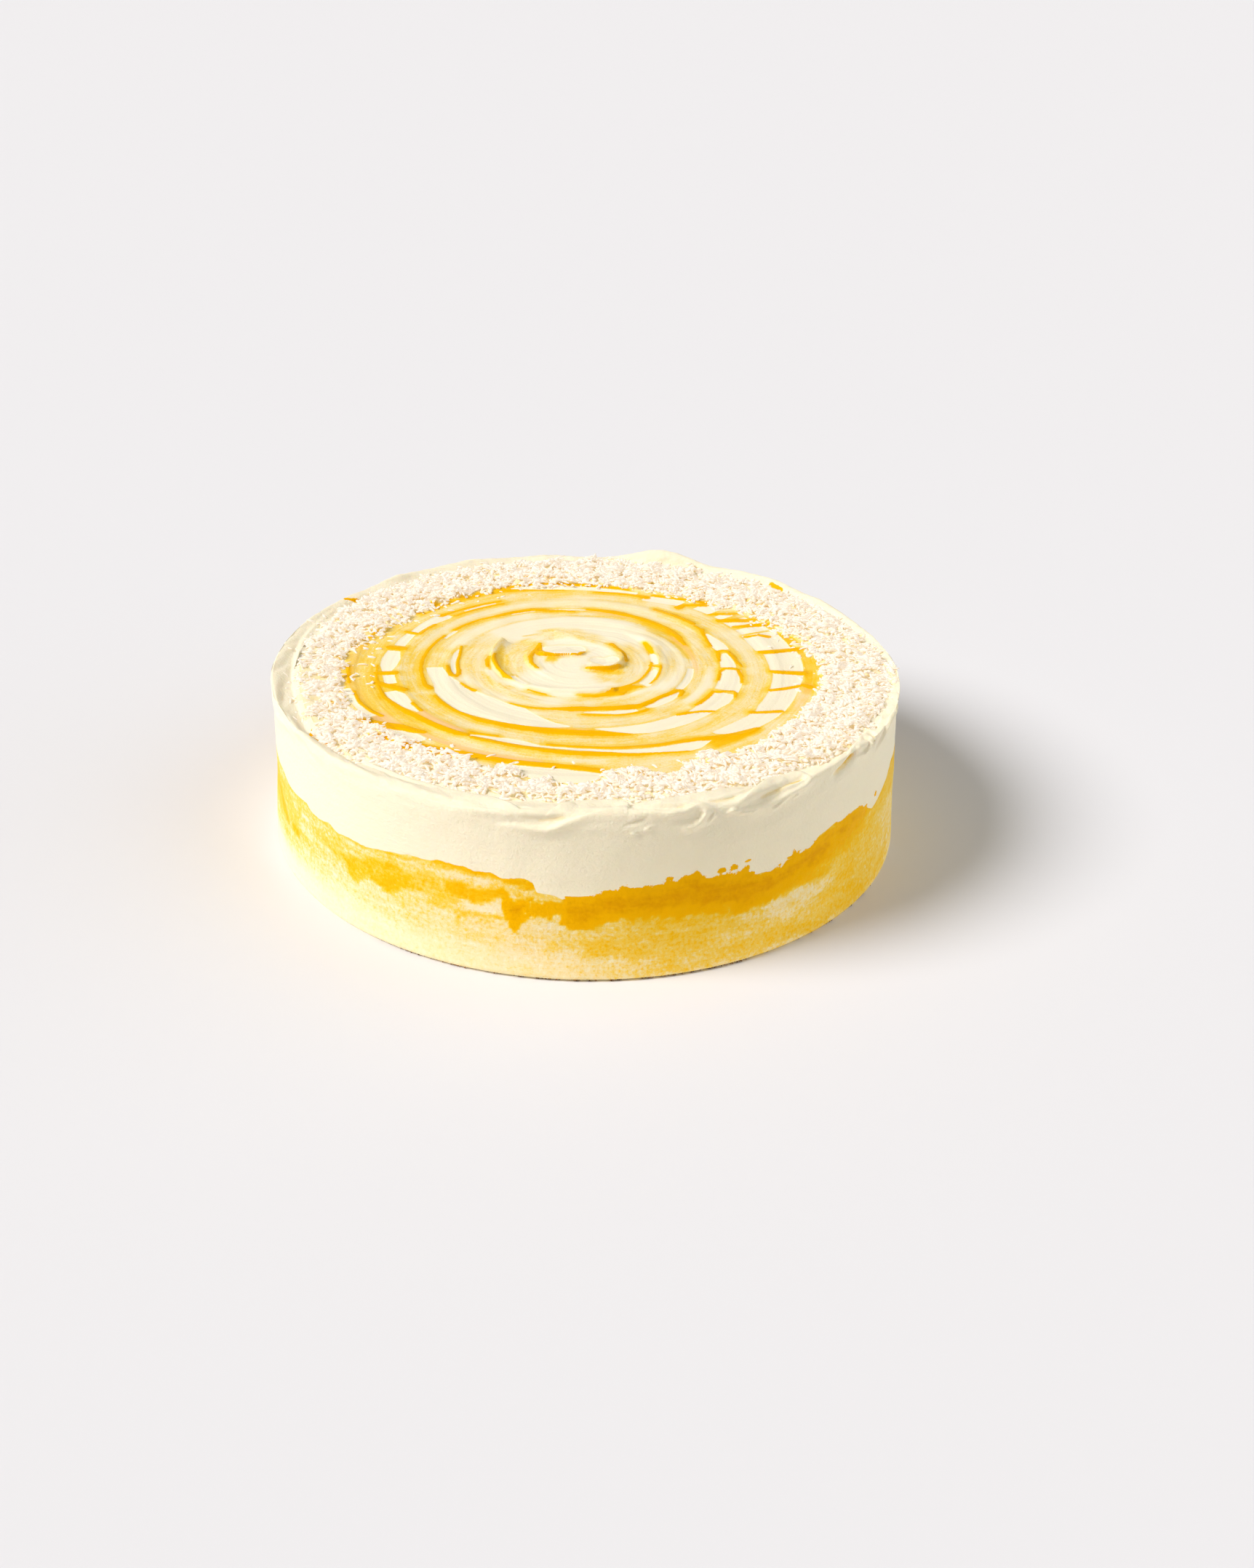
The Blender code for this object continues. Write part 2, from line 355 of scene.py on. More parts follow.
    def swirl_polar(self, x: np.ndarray, y: np.ndarray) -> tuple[np.ndarray, np.ndarray]:
        """Bearing in degrees and radius about the middle of the swirl."""
        across, along = x - self.swirl_x, y - self.swirl_y
        return np.degrees(np.arctan2(along, across)) % 360.0, np.hypot(across, along)

    def swirl(self, x: np.ndarray, y: np.ndarray) -> np.ndarray:
        """Height of the spiral ridge between two turns of the spatula's groove."""
        bearing, radius = self.swirl_polar(x, y)
        offset = (radius - self.swirl_start) / self.swirl_pitch - turned(bearing, 0.0) / 360.0
        from_ridge = (offset - np.round(offset)) * self.swirl_pitch
        grown = smooth_step((radius - self.calm_radius) / self.calm_fade)
        return self.ridge * bell(from_ridge, self.ridge_width) * grown


# --------------------------------------------------------------------------------------------------
# Marks: where puree, smears and bare cream lie
# --------------------------------------------------------------------------------------------------


class Chart(Enum):
    """The surface that a mark is laid out on."""

    SWIRL = "bearing and radius about the middle of the swirl"
    PLAN = "x and y on top"
    WALL = "bearing and height on the wall"
    RIM = "bearing and distance across the rim, outwards from its crest"


@dataclass(frozen=True)
class Strip:
    """Band between two edges that run round the cake.

    Each station is a bearing and the lower and upper edge there: radii on top, heights on the wall.
    """

    stations: tuple[Station, ...]

    def depth(self, bearing: np.ndarray, across: np.ndarray, arc: np.ndarray) -> np.ndarray:
        """How far inside the strip each point lies.

        Args:
            bearing: Bearings of the points.
            across: Their radii on top, or their heights on the wall.
            arc: Radius that turns a bearing into a length.

        Returns:
            Depth in millimetres, negative outside.
        """
        table = np.array(self.stations, dtype=float)
        middle = 0.5 * (table[0, 0] + table[-1, 0])
        place = middle + turned(bearing, middle)
        low = np.interp(place, table[:, 0], table[:, 1])
        high = np.interp(place, table[:, 0], table[:, 2])
        ends = np.minimum(place - table[0, 0], table[-1, 0] - place)
        return np.minimum(np.minimum(across - low, high - across), np.radians(ends) * arc)


@dataclass(frozen=True)
class Line:
    """Drizzled or dragged line.

    Each station is a place on the chart, in its two coordinates, and the half width there.
    """

    stations: tuple[Station, ...]
    chart: Chart = Chart.SWIRL
    finest_turn: float = 3.0

    def route(self, outline: Outline) -> np.ndarray:
        """Points of the line in the plane of its chart, with arcs split so that they stay round.

        Args:
            outline: The cake's outline, for the middle of the swirl.

        Returns:
            Rows of x, y and half width; on the wall x is the length round it.
        """
        table = np.array(self.stations, dtype=float)
        rows = [table[:1]]
        for first, last in zip(table[:-1], table[1:]):
            span = abs(last[0] - first[0])
            steps = 1 if self.chart is Chart.PLAN else max(1, math.ceil(span / self.finest_turn))
            rows.append(blended(first, last, np.arange(1, steps + 1)[:, None] / steps))
        points = np.concatenate(rows)
        if self.chart is Chart.SWIRL:
            angle = np.radians(points[:, 0])
            x = outline.swirl_x + points[:, 1] * np.cos(angle)
            y = outline.swirl_y + points[:, 1] * np.sin(angle)
            points = np.stack([x, y, points[:, 2]], axis=1)
        elif self.chart in (Chart.WALL, Chart.RIM):
            points[:, 0] = np.radians(points[:, 0]) * outline.base_radius
        return points


def drawn(chart: Chart, *routes: tuple[Station, ...]) -> tuple[Line, ...]:
    """Make a line of each route on a chart."""
    return tuple(Line(route, chart) for route in routes)


@dataclass(frozen=True)
class Patch:
    """Soft-edged area with its own amount of puree.

    The area runs between two bearings and two radii or heights. It fades over the soft width, and
    over the given number of soft widths at its ends.
    """

    start: float
    end: float
    low: float
    high: float
    level: float
    soft: float = 2.5
    ends: float = 2.5

    def weight(self, bearing: np.ndarray, across: np.ndarray, arc: np.ndarray | float) -> np.ndarray:
        """How strongly the patch holds at each point, from 0 to 1."""
        middle = 0.5 * (self.start + self.end)
        half = 0.5 * (self.end - self.start)
        round_way = np.radians(half - np.abs(turned(bearing, middle))) * arc
        inward = 0.5 * (self.high - self.low) - np.abs(across - 0.5 * (self.low + self.high))
        return smooth_step(round_way / (self.ends * self.soft) + 0.5) * smooth_step(inward / self.soft + 0.5)


@dataclass(frozen=True)
class Smear:
    """Soft stroke of puree that the spatula has worked into the cream.

    Each station is a place on the top, x and y, and the half width there.
    """

    level: float
    soft: float
    stations: tuple[Station, ...]

    def weight(self, x: np.ndarray, y: np.ndarray, outline: Outline) -> np.ndarray:
        """How strongly the stroke holds at each point, from 0 to 1."""
        depth = line_depth(x, y, [Line(self.stations, Chart.PLAN)], outline)
        return smooth_step(depth / (2.0 * self.soft) + 0.5)


def near_route(x: np.ndarray, y: np.ndarray, route: np.ndarray, margin: float) -> np.ndarray:
    """Numbers of the points that lie in a route's box, widened by a margin."""
    low, high = route[:, :2].min(axis=0) - margin, route[:, :2].max(axis=0) + margin
    return np.flatnonzero((x > low[0]) & (x < high[0]) & (y > low[1]) & (y < high[1]))


def beside(x: np.ndarray, y: np.ndarray, first: np.ndarray,
           last: np.ndarray) -> tuple[np.ndarray, np.ndarray, np.ndarray]:
    """Where points lie beside one stretch of a route.

    Args:
        x: First coordinate of the points.
        y: Second coordinate.
        first: Where the stretch starts.
        last: Where it ends.

    Returns:
        Share of the stretch nearest to each point, distance from there, and a number that is
        positive on the stretch's right side.
    """
    along = last[:2] - first[:2]
    dx, dy = x - first[0], y - first[1]
    share = np.clip((dx * along[0] + dy * along[1]) / max(float(along @ along), 1.0 / FAR), 0.0, 1.0)
    dx, dy = dx - share * along[0], dy - share * along[1]
    return share, np.hypot(dx, dy), along[1] * dx - along[0] * dy


def line_depth(x: np.ndarray, y: np.ndarray, lines: Sequence[Line], outline: Outline) -> np.ndarray:
    """How far inside the nearest of some lines each point lies.

    Args:
        x: First coordinate of the points in the lines' plane.
        y: Second coordinate.
        lines: The lines.
        outline: The cake's outline.

    Returns:
        Depth in millimetres, negative outside and at least -REACH.
    """
    depth = np.full(x.shape, -REACH)
    for line in lines:
        route = line.route(outline)
        near = near_route(x, y, route, route[:, 2].max() + REACH)
        best = depth[near]
        for first, last in zip(route[:-1], route[1:]):
            share, away, _ = beside(x[near], y[near], first, last)
            best = np.maximum(best, blended(first[2], last[2], share) - away)
        depth[near] = best
    return depth


# Where puree shows through the coconut: bearing from, to, radius from, to, share left bare, fade
COCONUT_GAPS = tuple(Patch(*area) for area in (
    (144.5, 150.5, 120, 128, 0.9, 2), (43.5, 48.5, 121.5, 127, 0.9, 2), (313.5, 316, 109, 112.5, 0.95, 1.5),
    (262, 264.5, 104, 106.5, 0.8, 1.5), (122, 132, 117, 120, 0.6, 2),
))

# Bare cream between the spatula's passes: bearing, inner and outer radius
TOP_STRIPS = tuple(Strip(stations) for stations in (
    ((311, 81, 83), (316, 81, 90), (320, 81.5, 91), (330, 83, 93), (333, 82, 93)),
    ((333, 82, 93.5), (345, 82, 93.5), (350, 82, 94), (356, 82, 95)),
    ((357.4, 81, 95), (365, 80.5, 95.5), (370, 80.5, 95.5)),
    ((372, 78, 94), (378, 77.5, 94), (384, 78, 94)),
    ((385, 79, 93), (389, 79, 93)),
    ((391, 79, 92), (395.5, 79, 91)),
    ((398, 80, 88), (401, 80, 88.5)),
    ((403.5, 80, 90), (410, 80, 89)),
    ((415, 78.5, 85), (420, 77, 84), (425, 76, 83), (428, 76, 79)),
    ((71, 81, 84), (80, 80.5, 84.5), (90, 81.5, 86), (100, 82, 88.5), (105, 84, 89.5), (111, 87, 88)),
    ((139, 73.5, 76), (141, 73, 80), (150, 74.5, 79.5), (156.5, 75.5, 79)),
    ((158.5, 75.3, 79.5), (163, 75, 80), (168, 75, 80)),
    ((172, 75.5, 81), (178, 74, 82), (183, 75, 82), (187, 77, 81)),
    ((189.8, 76, 81), (196, 76, 81)),
    ((201, 78, 83), (204, 75.5, 83.5), (208, 75.5, 82), (212, 76, 81), (217, 77, 78.5)),
    ((120, 73.6, 74.8), (133, 74, 75.3)),
    ((238, 77.5, 79), (241, 76, 79), (250, 73.3, 77.5), (255, 73.5, 77.5), (260, 75.5, 77), (267, 76, 77.5),
     (275, 77, 79.5), (280, 78.5, 81.5), (290, 80.5, 84.5), (300, 82, 89), (303, 83, 89), (308, 85, 86)),
    ((277, 60, 60.5), (280, 60, 62), (290, 60.5, 67.5), (295, 60.8, 69), (300, 61, 69.5), (310, 61.3, 70),
     (315, 62.5, 69.8), (325, 61, 70), (330, 61, 71), (337, 61, 70.5)),
    ((339, 60.5, 70.8), (350, 60, 70), (357, 60, 68.8)),
    ((359, 60.2, 67), (366, 60.5, 66.5), (372, 63, 65)),
    ((375, 61.5, 67.5), (380, 60.7, 67.5), (385, 62, 66.8), (391, 64, 66)),
    ((185, 56, 63), (195, 53.5, 62), (200, 52, 62), (207, 50, 64), (225, 47, 65), (235, 47, 63),
     (245, 47, 62), (250, 49.5, 61.4), (256, 52.5, 60.5), (262, 55.5, 59.8), (268, 57.6, 58.8)),
    ((165, 51.5, 52.3), (170, 50.5, 53), (180, 50.8, 53), (190, 50.5, 52.5), (193.5, 51, 52)),
    ((305, 47, 49.5), (308, 47, 51), (320, 46.8, 51.3), (325, 48, 50.8), (328, 48.8, 49.8)),
    ((274, 45, 46), (280, 45.2, 47), (285, 46, 48), (290, 46, 49.8), (296, 47.5, 50.3), (300, 48, 50.2)),
    ((80, 57.5, 58.1), (88, 57.5, 58.8), (95, 57.5, 59), (104, 58.8, 59.6)),
    ((109, 58.7, 60.3), (120, 59.2, 60.6)),
    ((148, 61.2, 62.8), (157, 61.3, 63)),
    ((2, 32.5, 34.3), (12, 32.8, 34.6), (22, 33, 34.6)),
    ((325, 31, 34), (335, 31.2, 34.5), (348, 31.5, 34.4), (353, 32.2, 33.8)),
    ((331, 46, 49.3), (345, 46, 49.5), (357, 46.3, 49)),
    ((205, 28, 30), (215, 28, 30.2), (225, 28, 29.6)),
    ((252, 93.6, 97), (258, 93.2, 99.5), (263, 93, 104), (268, 93.5, 104), (273, 95.4, 104), (276, 97, 99)),
    ((196, 95, 99), (200, 95, 98.5), (205, 95.5, 98), (210, 94, 97.5), (213, 92.5, 97)),
    ((221, 93, 97), (225, 90, 98), (228, 89.5, 96), (231, 90, 93.5)),
))

# Bare cream in the middle: x, y and half width
TOP_BARES = drawn(Chart.PLAN,
    ((-18, 16.6, 3.4), (-12, 17, 4.4), (-5, 17.2, 4.2)),
    ((3.5, 7, 2.6), (8, 5, 3.4), (10.5, 8, 3)),
    ((27.6, 12.5, 1.6), (28.2, 6, 1.6)),
    ((27.6, -4, 1.7), (26.5, -11, 1.9), (24.6, -16.5, 1.6)),
)

# Puree that lies thick enough to gloss: bearing, radius and half width, or in the middle x and y
TOP_LINES = drawn(Chart.SWIRL,
    ((328, 82, 0.8), (333, 92, 0.9)),
    ((344, 82.5, 0.9), (349.5, 95, 0.9), (348.6, 98, 1.4)),
    ((356.8, 82, 1.4), (356.6, 95, 1.7)),
    ((10.5, 80, 1.4), (11, 97, 1.4)),
    ((21, 89, 1.1), (23, 86, 0.6)),
    ((23, 79.5, 0.7), (23, 84.5, 0.5)),
    ((31, 81, 1.3), (27.5, 98, 1.3)),
    ((37.5, 79, 1.5), (32, 93, 1.5)),
    ((43, 80.5, 0.7), (38, 92, 0.7)),
    ((54, 77, 2), (54, 80, 1.3), (48.5, 88, 0.9)),
    ((67, 80, 1.2), (74, 80, 1.2), (80, 79.6, 0.8), (85, 79, 0.4)),
    ((50, 89, 1.1), (55, 87.3, 1), (58, 85.5, 0.8), (62, 84.3, 0.8), (66, 83.3, 0.7)),
    ((75, 85.5, 0.8), (80, 86.4, 1), (85, 87, 1.2), (94, 88, 1.2), (100, 89.5, 0.8), (110, 90.5, 0.6)),
    ((95, 81, 0.5), (105, 83, 0.5), (112, 86, 0.5)),
    ((157.5, 75, 0.7), (157.5, 80.5, 0.7)),
    ((170, 75, 1.5), (170, 81, 1.5)),
    ((188.5, 75.5, 1.2), (188.3, 83, 1.2)),
    ((195, 83.5, 1.5), (198, 79.5, 1.7), (201.5, 74.5, 1.3)),
    ((183, 83, 0.1), (192, 83.6, 0.4), (200, 84, 0.6)),
    ((148, 74, 0.7), (157, 74.2, 0.7)),
    ((211, 76, 0.5), (217, 76.5, 0.5)),
    ((118, 75.3, 0.4), (134, 76.7, 0.6), (141, 78, 0.9)),
    ((118, 72, 0.4), (138, 73.3, 0.5)),
    ((200, 84, 0.6), (205, 84, 0.8), (210, 83, 1), (215, 81.7, 1.1), (220, 80.7, 1.3), (230, 80, 1.5),
     (235, 79.6, 1.5), (238, 78.4, 0.9)),
    ((240, 79, 1.1), (245, 78.2, 1.2), (255, 78.5, 1.2), (262, 79.4, 1.2), (267, 80.4, 1.5), (275, 81, 1.8),
     (280, 82, 1.5), (285, 84, 1.1), (290, 85.3, 0.8), (295, 87, 0.6), (299, 89, 0.5)),
    ((238, 76, 0.5), (246, 73.7, 0.4)),
    ((262, 74.6, 0.5), (270, 75.2, 0.5), (280, 77, 0.6), (290, 78.7, 0.7), (300, 80.6, 0.9),
     (305, 82.3, 1.1), (310, 86, 1.4), (314, 88.5, 1.8), (321, 91.5, 1)),
    ((222, 104, 2.6), (224, 103, 3), (230, 99, 3), (235, 96, 2.4), (240, 93.5, 2), (245, 92, 1.7),
     (250, 91.5, 1.5), (265, 91, 1.4), (270, 92, 1.3), (276, 95, 1.2)),
    ((214, 99, 1.2), (218, 95.5, 2), (222, 91, 2), (228, 87.5, 1)),
    ((160, 92.5, 0.5), (165, 92.5, 0.6)),
    ((184, 95, 0.5), (188, 94.7, 0.6), (193, 95, 0.4)),
    ((198, 94, 0.2), (204, 94.6, 0.4), (210, 93.5, 0.6), (214, 91.8, 0.6)),
    ((311, 61.5, 0.5), (315, 63, 0.6), (319, 65.5, 0.6), (321, 68, 0.6), (322, 69.5, 0.6)),
    ((322, 61, 0.5), (336, 61, 0.5), (337, 64, 0.5), (338.5, 66, 0.6), (339.5, 68.5, 0.5), (338, 70, 0.5),
     (335, 71, 0.4)),
    ((347, 60, 0.4), (355, 60, 0.5), (358, 62, 0.6), (358.5, 65, 0.6), (357, 67.5, 0.6), (352, 69, 0.5),
     (347, 70, 0.4)),
    ((365, 60.3, 0.5), (370, 60.8, 0.7), (373.5, 62, 0.8), (374.5, 64, 0.8), (373, 66, 0.8), (369, 67, 0.7),
     (364, 67.5, 0.6), (360, 69, 0.4)),
    ((380, 61, 0.4), (385, 62, 0.4), (390, 63.5, 0.5), (393, 65, 0.6), (395, 67, 0.6)),
    ((395, 66, 0.6), (399, 66.4, 0.5)),
    ((155, 63.5, 0.5), (170, 64.3, 0.5), (185, 65, 0.5), (195, 65, 0.6), (200, 65.5, 0.8),
     (203, 64.5, 1.2)),
    ((210, 65.5, 0.5), (215, 66, 0.6), (225, 66, 0.7), (230, 65.7, 0.8), (235, 65.5, 1.2), (240, 64.5, 1.5),
     (245, 63.9, 1.8), (250, 63.4, 2), (260, 63.1, 2.1), (270, 63.6, 2.1), (275, 64.1, 2), (280, 65, 1.7),
     (285, 66.6, 1.1), (288, 67.8, 0.5)),
    ((162, 52, 0.4), (166, 51, 0.3), (172, 50, 0.3), (180, 49.8, 0.3), (185, 49.7, 0.4), (190, 49.5, 0.7),
     (193, 50, 0.8), (195.5, 51.5, 0.9), (194, 53, 0.9), (190, 53.6, 0.7), (184, 54, 0.6)),
    ((203, 51.3, 0.2), (211, 49.9, 0.4), (213, 49.3, 0.7)),
    ((236, 46.5, 0.3), (246, 46, 0.5), (250, 45.3, 0.5), (255, 44.5, 0.7), (260, 43.6, 1), (264, 43.1, 1.3),
     (268, 42.8, 1.8), (272, 42.6, 1.9), (278, 42.9, 1.5), (283, 43, 1.5), (288, 44, 1.6), (293, 44.6, 1.5),
     (298, 45.5, 1.8), (302, 46.8, 1.6), (305, 46.5, 1.1), (315, 45.8, 0.9), (320, 46, 0.9), (325, 47, 0.9),
     (329, 47.5, 0.9), (330.5, 49, 0.9), (329, 50.3, 0.8), (325, 51.2, 0.6)),
    ((273, 48, 0.4), (280, 48.5, 0.5), (287, 50, 0.4), (293, 51, 0.5), (300, 51.5, 0.5), (304, 51, 0.5)),
    ((385, 51, 0.5), (390, 51.6, 0.9), (395, 52.8, 1.3), (400, 54, 1), (405, 55, 0.8), (415, 55.6, 1.1),
     (420, 56.3, 1.2), (425, 56.8, 1.2), (430, 57.4, 1.6), (435, 58, 1.6), (440, 58.2, 1.2),
     (446, 58.7, 0.5)),
    ((92, 56, 0.4), (97, 56.8, 0.8), (102, 57.5, 1.1), (106, 59.5, 1.3), (110, 61.2, 1), (118, 61.2, 1),
     (128, 61.3, 0.8), (134, 62.6, 0.5), (148, 63.3, 0.6)),
    ((41, 67.5, 1.1), (50, 68.3, 1), (60, 68.8, 0.8)),
    ((10, 21, 0.4), (30, 23, 0.5), (45, 23.8, 0.6), (55, 25.5, 0.8)),
    ((303, 28, 0.8), (307, 28.8, 0.7), (325, 30, 0.4), (345, 30.2, 0.3), (365, 31.5, 0.4)),
    ((330, 35.2, 0.3), (360, 35.2, 0.3)),
    ((298, 30, 1.4), (303, 33, 1.6), (309, 31, 1.3), (316, 31, 1.2), (321, 34, 0.6)),
    ((276, 31, 0.5), (288, 31.5, 1), (298, 31.5, 1.3)),
    ((165, 36, 0.4), (172, 35.5, 0.7), (178, 34.5, 0.9), (185, 33.5, 0.8), (190, 33, 0.6), (195, 32.3, 0.8),
     (205, 32, 1.1), (209, 31, 0.5)),
    ((171, 37.6, 0.5), (178, 37.6, 0.8), (186, 37.4, 0.4)),
    ((233, 32.3, 0.3), (240, 32.3, 0.4), (247, 32.3, 0.3)),
) + drawn(Chart.PLAN,
    ((-20.6, 23, 0.5), (-21.3, 16, 1.5), (-19.8, 13, 2.2), (-14, 11.6, 1.6), (-8, 12.4, 1.1),
     (-4, 12.7, 1.2), (-2.2, 14.9, 0.7)),
    ((-22.6, 16, 0.5), (-24.3, 9, 0.8), (-23.6, 3, 0.6), (-21, -2, 0.4)),
    ((0.4, -1.4, 1.1), (5, -1.5, 1.8), (9, -2, 2.6), (12.3, 0.5, 1.6), (13.2, 2.4, 0.7)),
    ((24.6, 25, 0.7), (26, 20, 1.3), (27.2, 15, 0.6)),
    ((26.2, 1.8, 0.5), (29.5, 1.2, 0.7)),
)

# How much puree the spatula has worked into the cream: bearing from, to, radius from, to, amount
TOP_SMEARS = tuple(Patch(*area) for area in (
    (105, 145, 84, 95, 0.9, 3), (-15, 14, 95.5, 106, 0.56, 2), (12, 28, 94, 99, 0.7, 2),
    (60, 110, 77, 81, 0.34, 2.5), (305, 321, 87, 93, 0.8, 3), (217, 236, 75, 79, 0.55, 2.5),
    (190, 202, 75, 79, 0.5, 2.5), (150, 222, 83, 96, 0.42, 4), (160, 205, 66, 73, 0.34, 4),
    (225, 262, 87.5, 90.5, 0.54, 2.5), (214, 222, 90, 97, 0.55, 3), (168, 172, 91, 99, 1, 2.5),
    (155, 207, 61.5, 64.3, 0.3, 1.8), (56, 170, 62, 69.5, 0.13, 3), (48, 82, 57.5, 62, 0.12, 2.5),
    (262, 296, 66, 74, 0.34, 3), (250, 277, 59.5, 62, 0.7, 2), (186, 254, 47, 64, 0.02, 4),
    (256, 300, 47, 60, 0.22, 4), (5, 50, 46.5, 50.5, 0.45, 2.5), (40, 58, 50.5, 53.5, 0.6, 2),
    (60, 83, 52.5, 57.5, 0.32, 3), (60, 142, 38.5, 50, 0.01, 2.5), (144, 172, 38, 46, 0.2, 3),
    (110, 165, 51.5, 57.5, 0.08, 3), (12, 30, 70, 80, 0.13, 4), (50, 66, 72, 78, 0.13, 3),
    (320, 352, 54, 58.5, 0.06, 3), (323, 338, 31, 45, 0.02, 3), (248, 262, 34, 41, 0.04, 3),
    (176, 200, 50, 54, 0.08, 2.5), (98, 122, 27, 36, 0.22, 3), (128, 160, 24, 34, 0.28, 3),
    (142, 172, 9, 14, 0.55, 2.5), (300, 322, 13, 21, 0.27, 3),
))

# Strokes in the middle: amount, softness, and x, y and half width along them
TOP_STROKES = tuple(Smear(*stroke) for stroke in (
    (0.24, 2.5, ((-20, 38, 2.5), (-14, 38, 4), (-6, 35, 4), (1, 30, 4), (8, 24.5, 2.5), (12.5, 18, 1.8),
                 (14.4, 9, 1))),
    (0.36, 1.5, ((-18.5, 36, 1.4), (-14, 37.5, 1.6), (-10, 36.5, 0.8))),
    (0.33, 1.2, ((-4, 32.5, 0.6), (3, 29, 1), (8, 24, 1), (12, 19, 0.8), (14.8, 12, 0.5))),
    (0.5, 0.8, ((-28, 30.4, 0.3), (-22.5, 32.6, 0.5))),
    (0.2, 4, ((-33, 22, 3), (-31, 12, 6.5), (-30, 2, 6), (-28, -6, 3))),
    (0.4, 2.2, ((-36.5, 30, 0.6), (-37, 20, 1.5), (-36, 10, 3), (-34.5, 2, 3), (-32.5, -5, 2),
                (-30.5, -10, 1.2))),
    (0.55, 0.8, ((-41.6, 9, 0.5), (-41.4, 1, 0.6), (-40.4, -4, 0.4))),
    (0.24, 3, ((-38, 43, 1), (-46, 31, 2), (-50, 17, 3.5), (-49.5, 3, 4.5), (-47, -8, 4.5), (-41, -17, 4),
               (-33, -25, 4), (-25, -31, 3))),
    (0.36, 2, ((-44, -7, 1.5), (-41, -15, 2.6), (-36, -20, 2.2), (-31, -23, 1.2))),
    (0.3, 2, ((-48, 32, 0.8), (-40, 42, 1.2), (-28, 49, 0.8))),
    (0.42, 1.5, ((-32, -20, 0.6), (-27, -24.5, 0.9), (-20, -27.5, 0.9), (-13, -29.5, 0.5))),
    (0.24, 3, ((-26, -32, 2), (-14, -33.5, 4), (0, -34, 4.5), (12, -33, 4), (22, -28, 2.5), (30, -21, 2),
               (34, -10, 2), (36, 3, 2.5), (36, 15, 3))),
    (0.27, 2.5, ((-14, -44.5, 1), (0, -45.6, 2), (14, -45, 2), (28, -39, 1.5))),
    (0.62, 2.2, ((-4, -27, 0.8), (3, -27.6, 1.2), (10, -26.6, 2.2), (15, -22.4, 3), (21, -18.5, 1.6),
                 (25, -18, 0.5))),
    (0.22, 3, ((17, 22, 2.5), (20, 14, 4), (20, 4, 4), (17, -6, 4.5), (13, -12, 3.5))),
    # Partly painted shadow: this stroke below the wedge's front face stands for the shade it casts, as well
    # as for puree
    (0.45, 2.5, ((1, -5, 0.6), (8, -6, 2.6), (13.4, -5.4, 2.6), (14.6, 0, 1))),
    (0.42, 1.5, ((24.6, 26, 1), (26, 20, 1.8), (26.8, 14, 1))),
    (0.52, 2.4, ((-12, 54, 0.8), (4, 53.6, 1.5), (15, 52.4, 2.6), (24, 49, 2.8), (32, 41.5, 3.4),
                 (38, 32, 3.2), (42, 22, 2.2), (44.6, 12, 1.4), (45.4, 3, 0.8))),
    (0.26, 2, ((30, 2, 0.8), (31, 12, 1.4), (30.5, 22, 0.8))),
))

# Where puree lies as a thin peach haze: bearing from, to, radius from, to, strength
TOP_BLUSHES = tuple(Patch(*area) for area in (
    (216, 236, 75.5, 78.8, 0.9, 2), (225, 262, 87, 90, 0.8, 2), (212, 221, 89, 96, 0.8, 2.5),
    (-8, 36, 48.5, 51, 0.5, 2), (65, 84, 53.5, 57.5, 0.4, 2.5), (252, 275, 60, 61.8, 0.5, 1.5),
    (155, 205, 91, 96, 0.2, 3), (335, 350, 95, 99, 0.4, 2.5),
))


# --------------------------------------------------------------------------------------------------
# Relief in the middle of the top
# --------------------------------------------------------------------------------------------------


@dataclass(frozen=True)
class Curl:
    """Crest or groove that the spatula left: steep on one side and gentle on the other.

    Each station is a place on the chart, in its two coordinates, and the rise there, which is
    negative in a groove. A positive steep width lies to the right of the way the crest runs, a
    negative one to the left.
    """

    stations: tuple[Station, ...]
    steep: float
    gentle: float
    chart: Chart = Chart.PLAN

    def rise(self, x: np.ndarray, y: np.ndarray, widen: float = 1.0) -> np.ndarray:
        """Height that the curl adds at each point, in millimetres.

        Args:
            x: First coordinate of the points; on the rim this is the length round it.
            y: Second coordinate.
            widen: How much wider than its own widths the curl is drawn.

        Returns:
            The heights.
        """
        table = np.array(self.stations, dtype=float)
        if self.chart is Chart.RIM:
            table[:, 0] = np.radians(table[:, 0]) * RIM_ARC
        steep, gentle = abs(self.steep) * widen, self.gentle * widen
        near = near_route(x, y, table, BELL_REACH * max(steep, gentle))
        nearest = np.full(near.shape, FAR)
        side = np.zeros(near.shape)
        height = np.zeros(near.shape)
        for first, last in zip(table[:-1], table[1:]):
            share, away, right = beside(x[near], y[near], first, last)
            closer = away < nearest
            nearest = np.where(closer, away, nearest)
            side = np.where(closer, right, side)
            height = np.where(closer, blended(first[2], last[2], share), height)
        on_steep = side * math.copysign(1.0, self.steep) > 0.0
        falling = 1.0 - smooth_step(nearest / steep)
        total = np.zeros(x.shape)
        total[near] = height * np.where(on_steep, falling, bell(nearest, gentle))
        return total


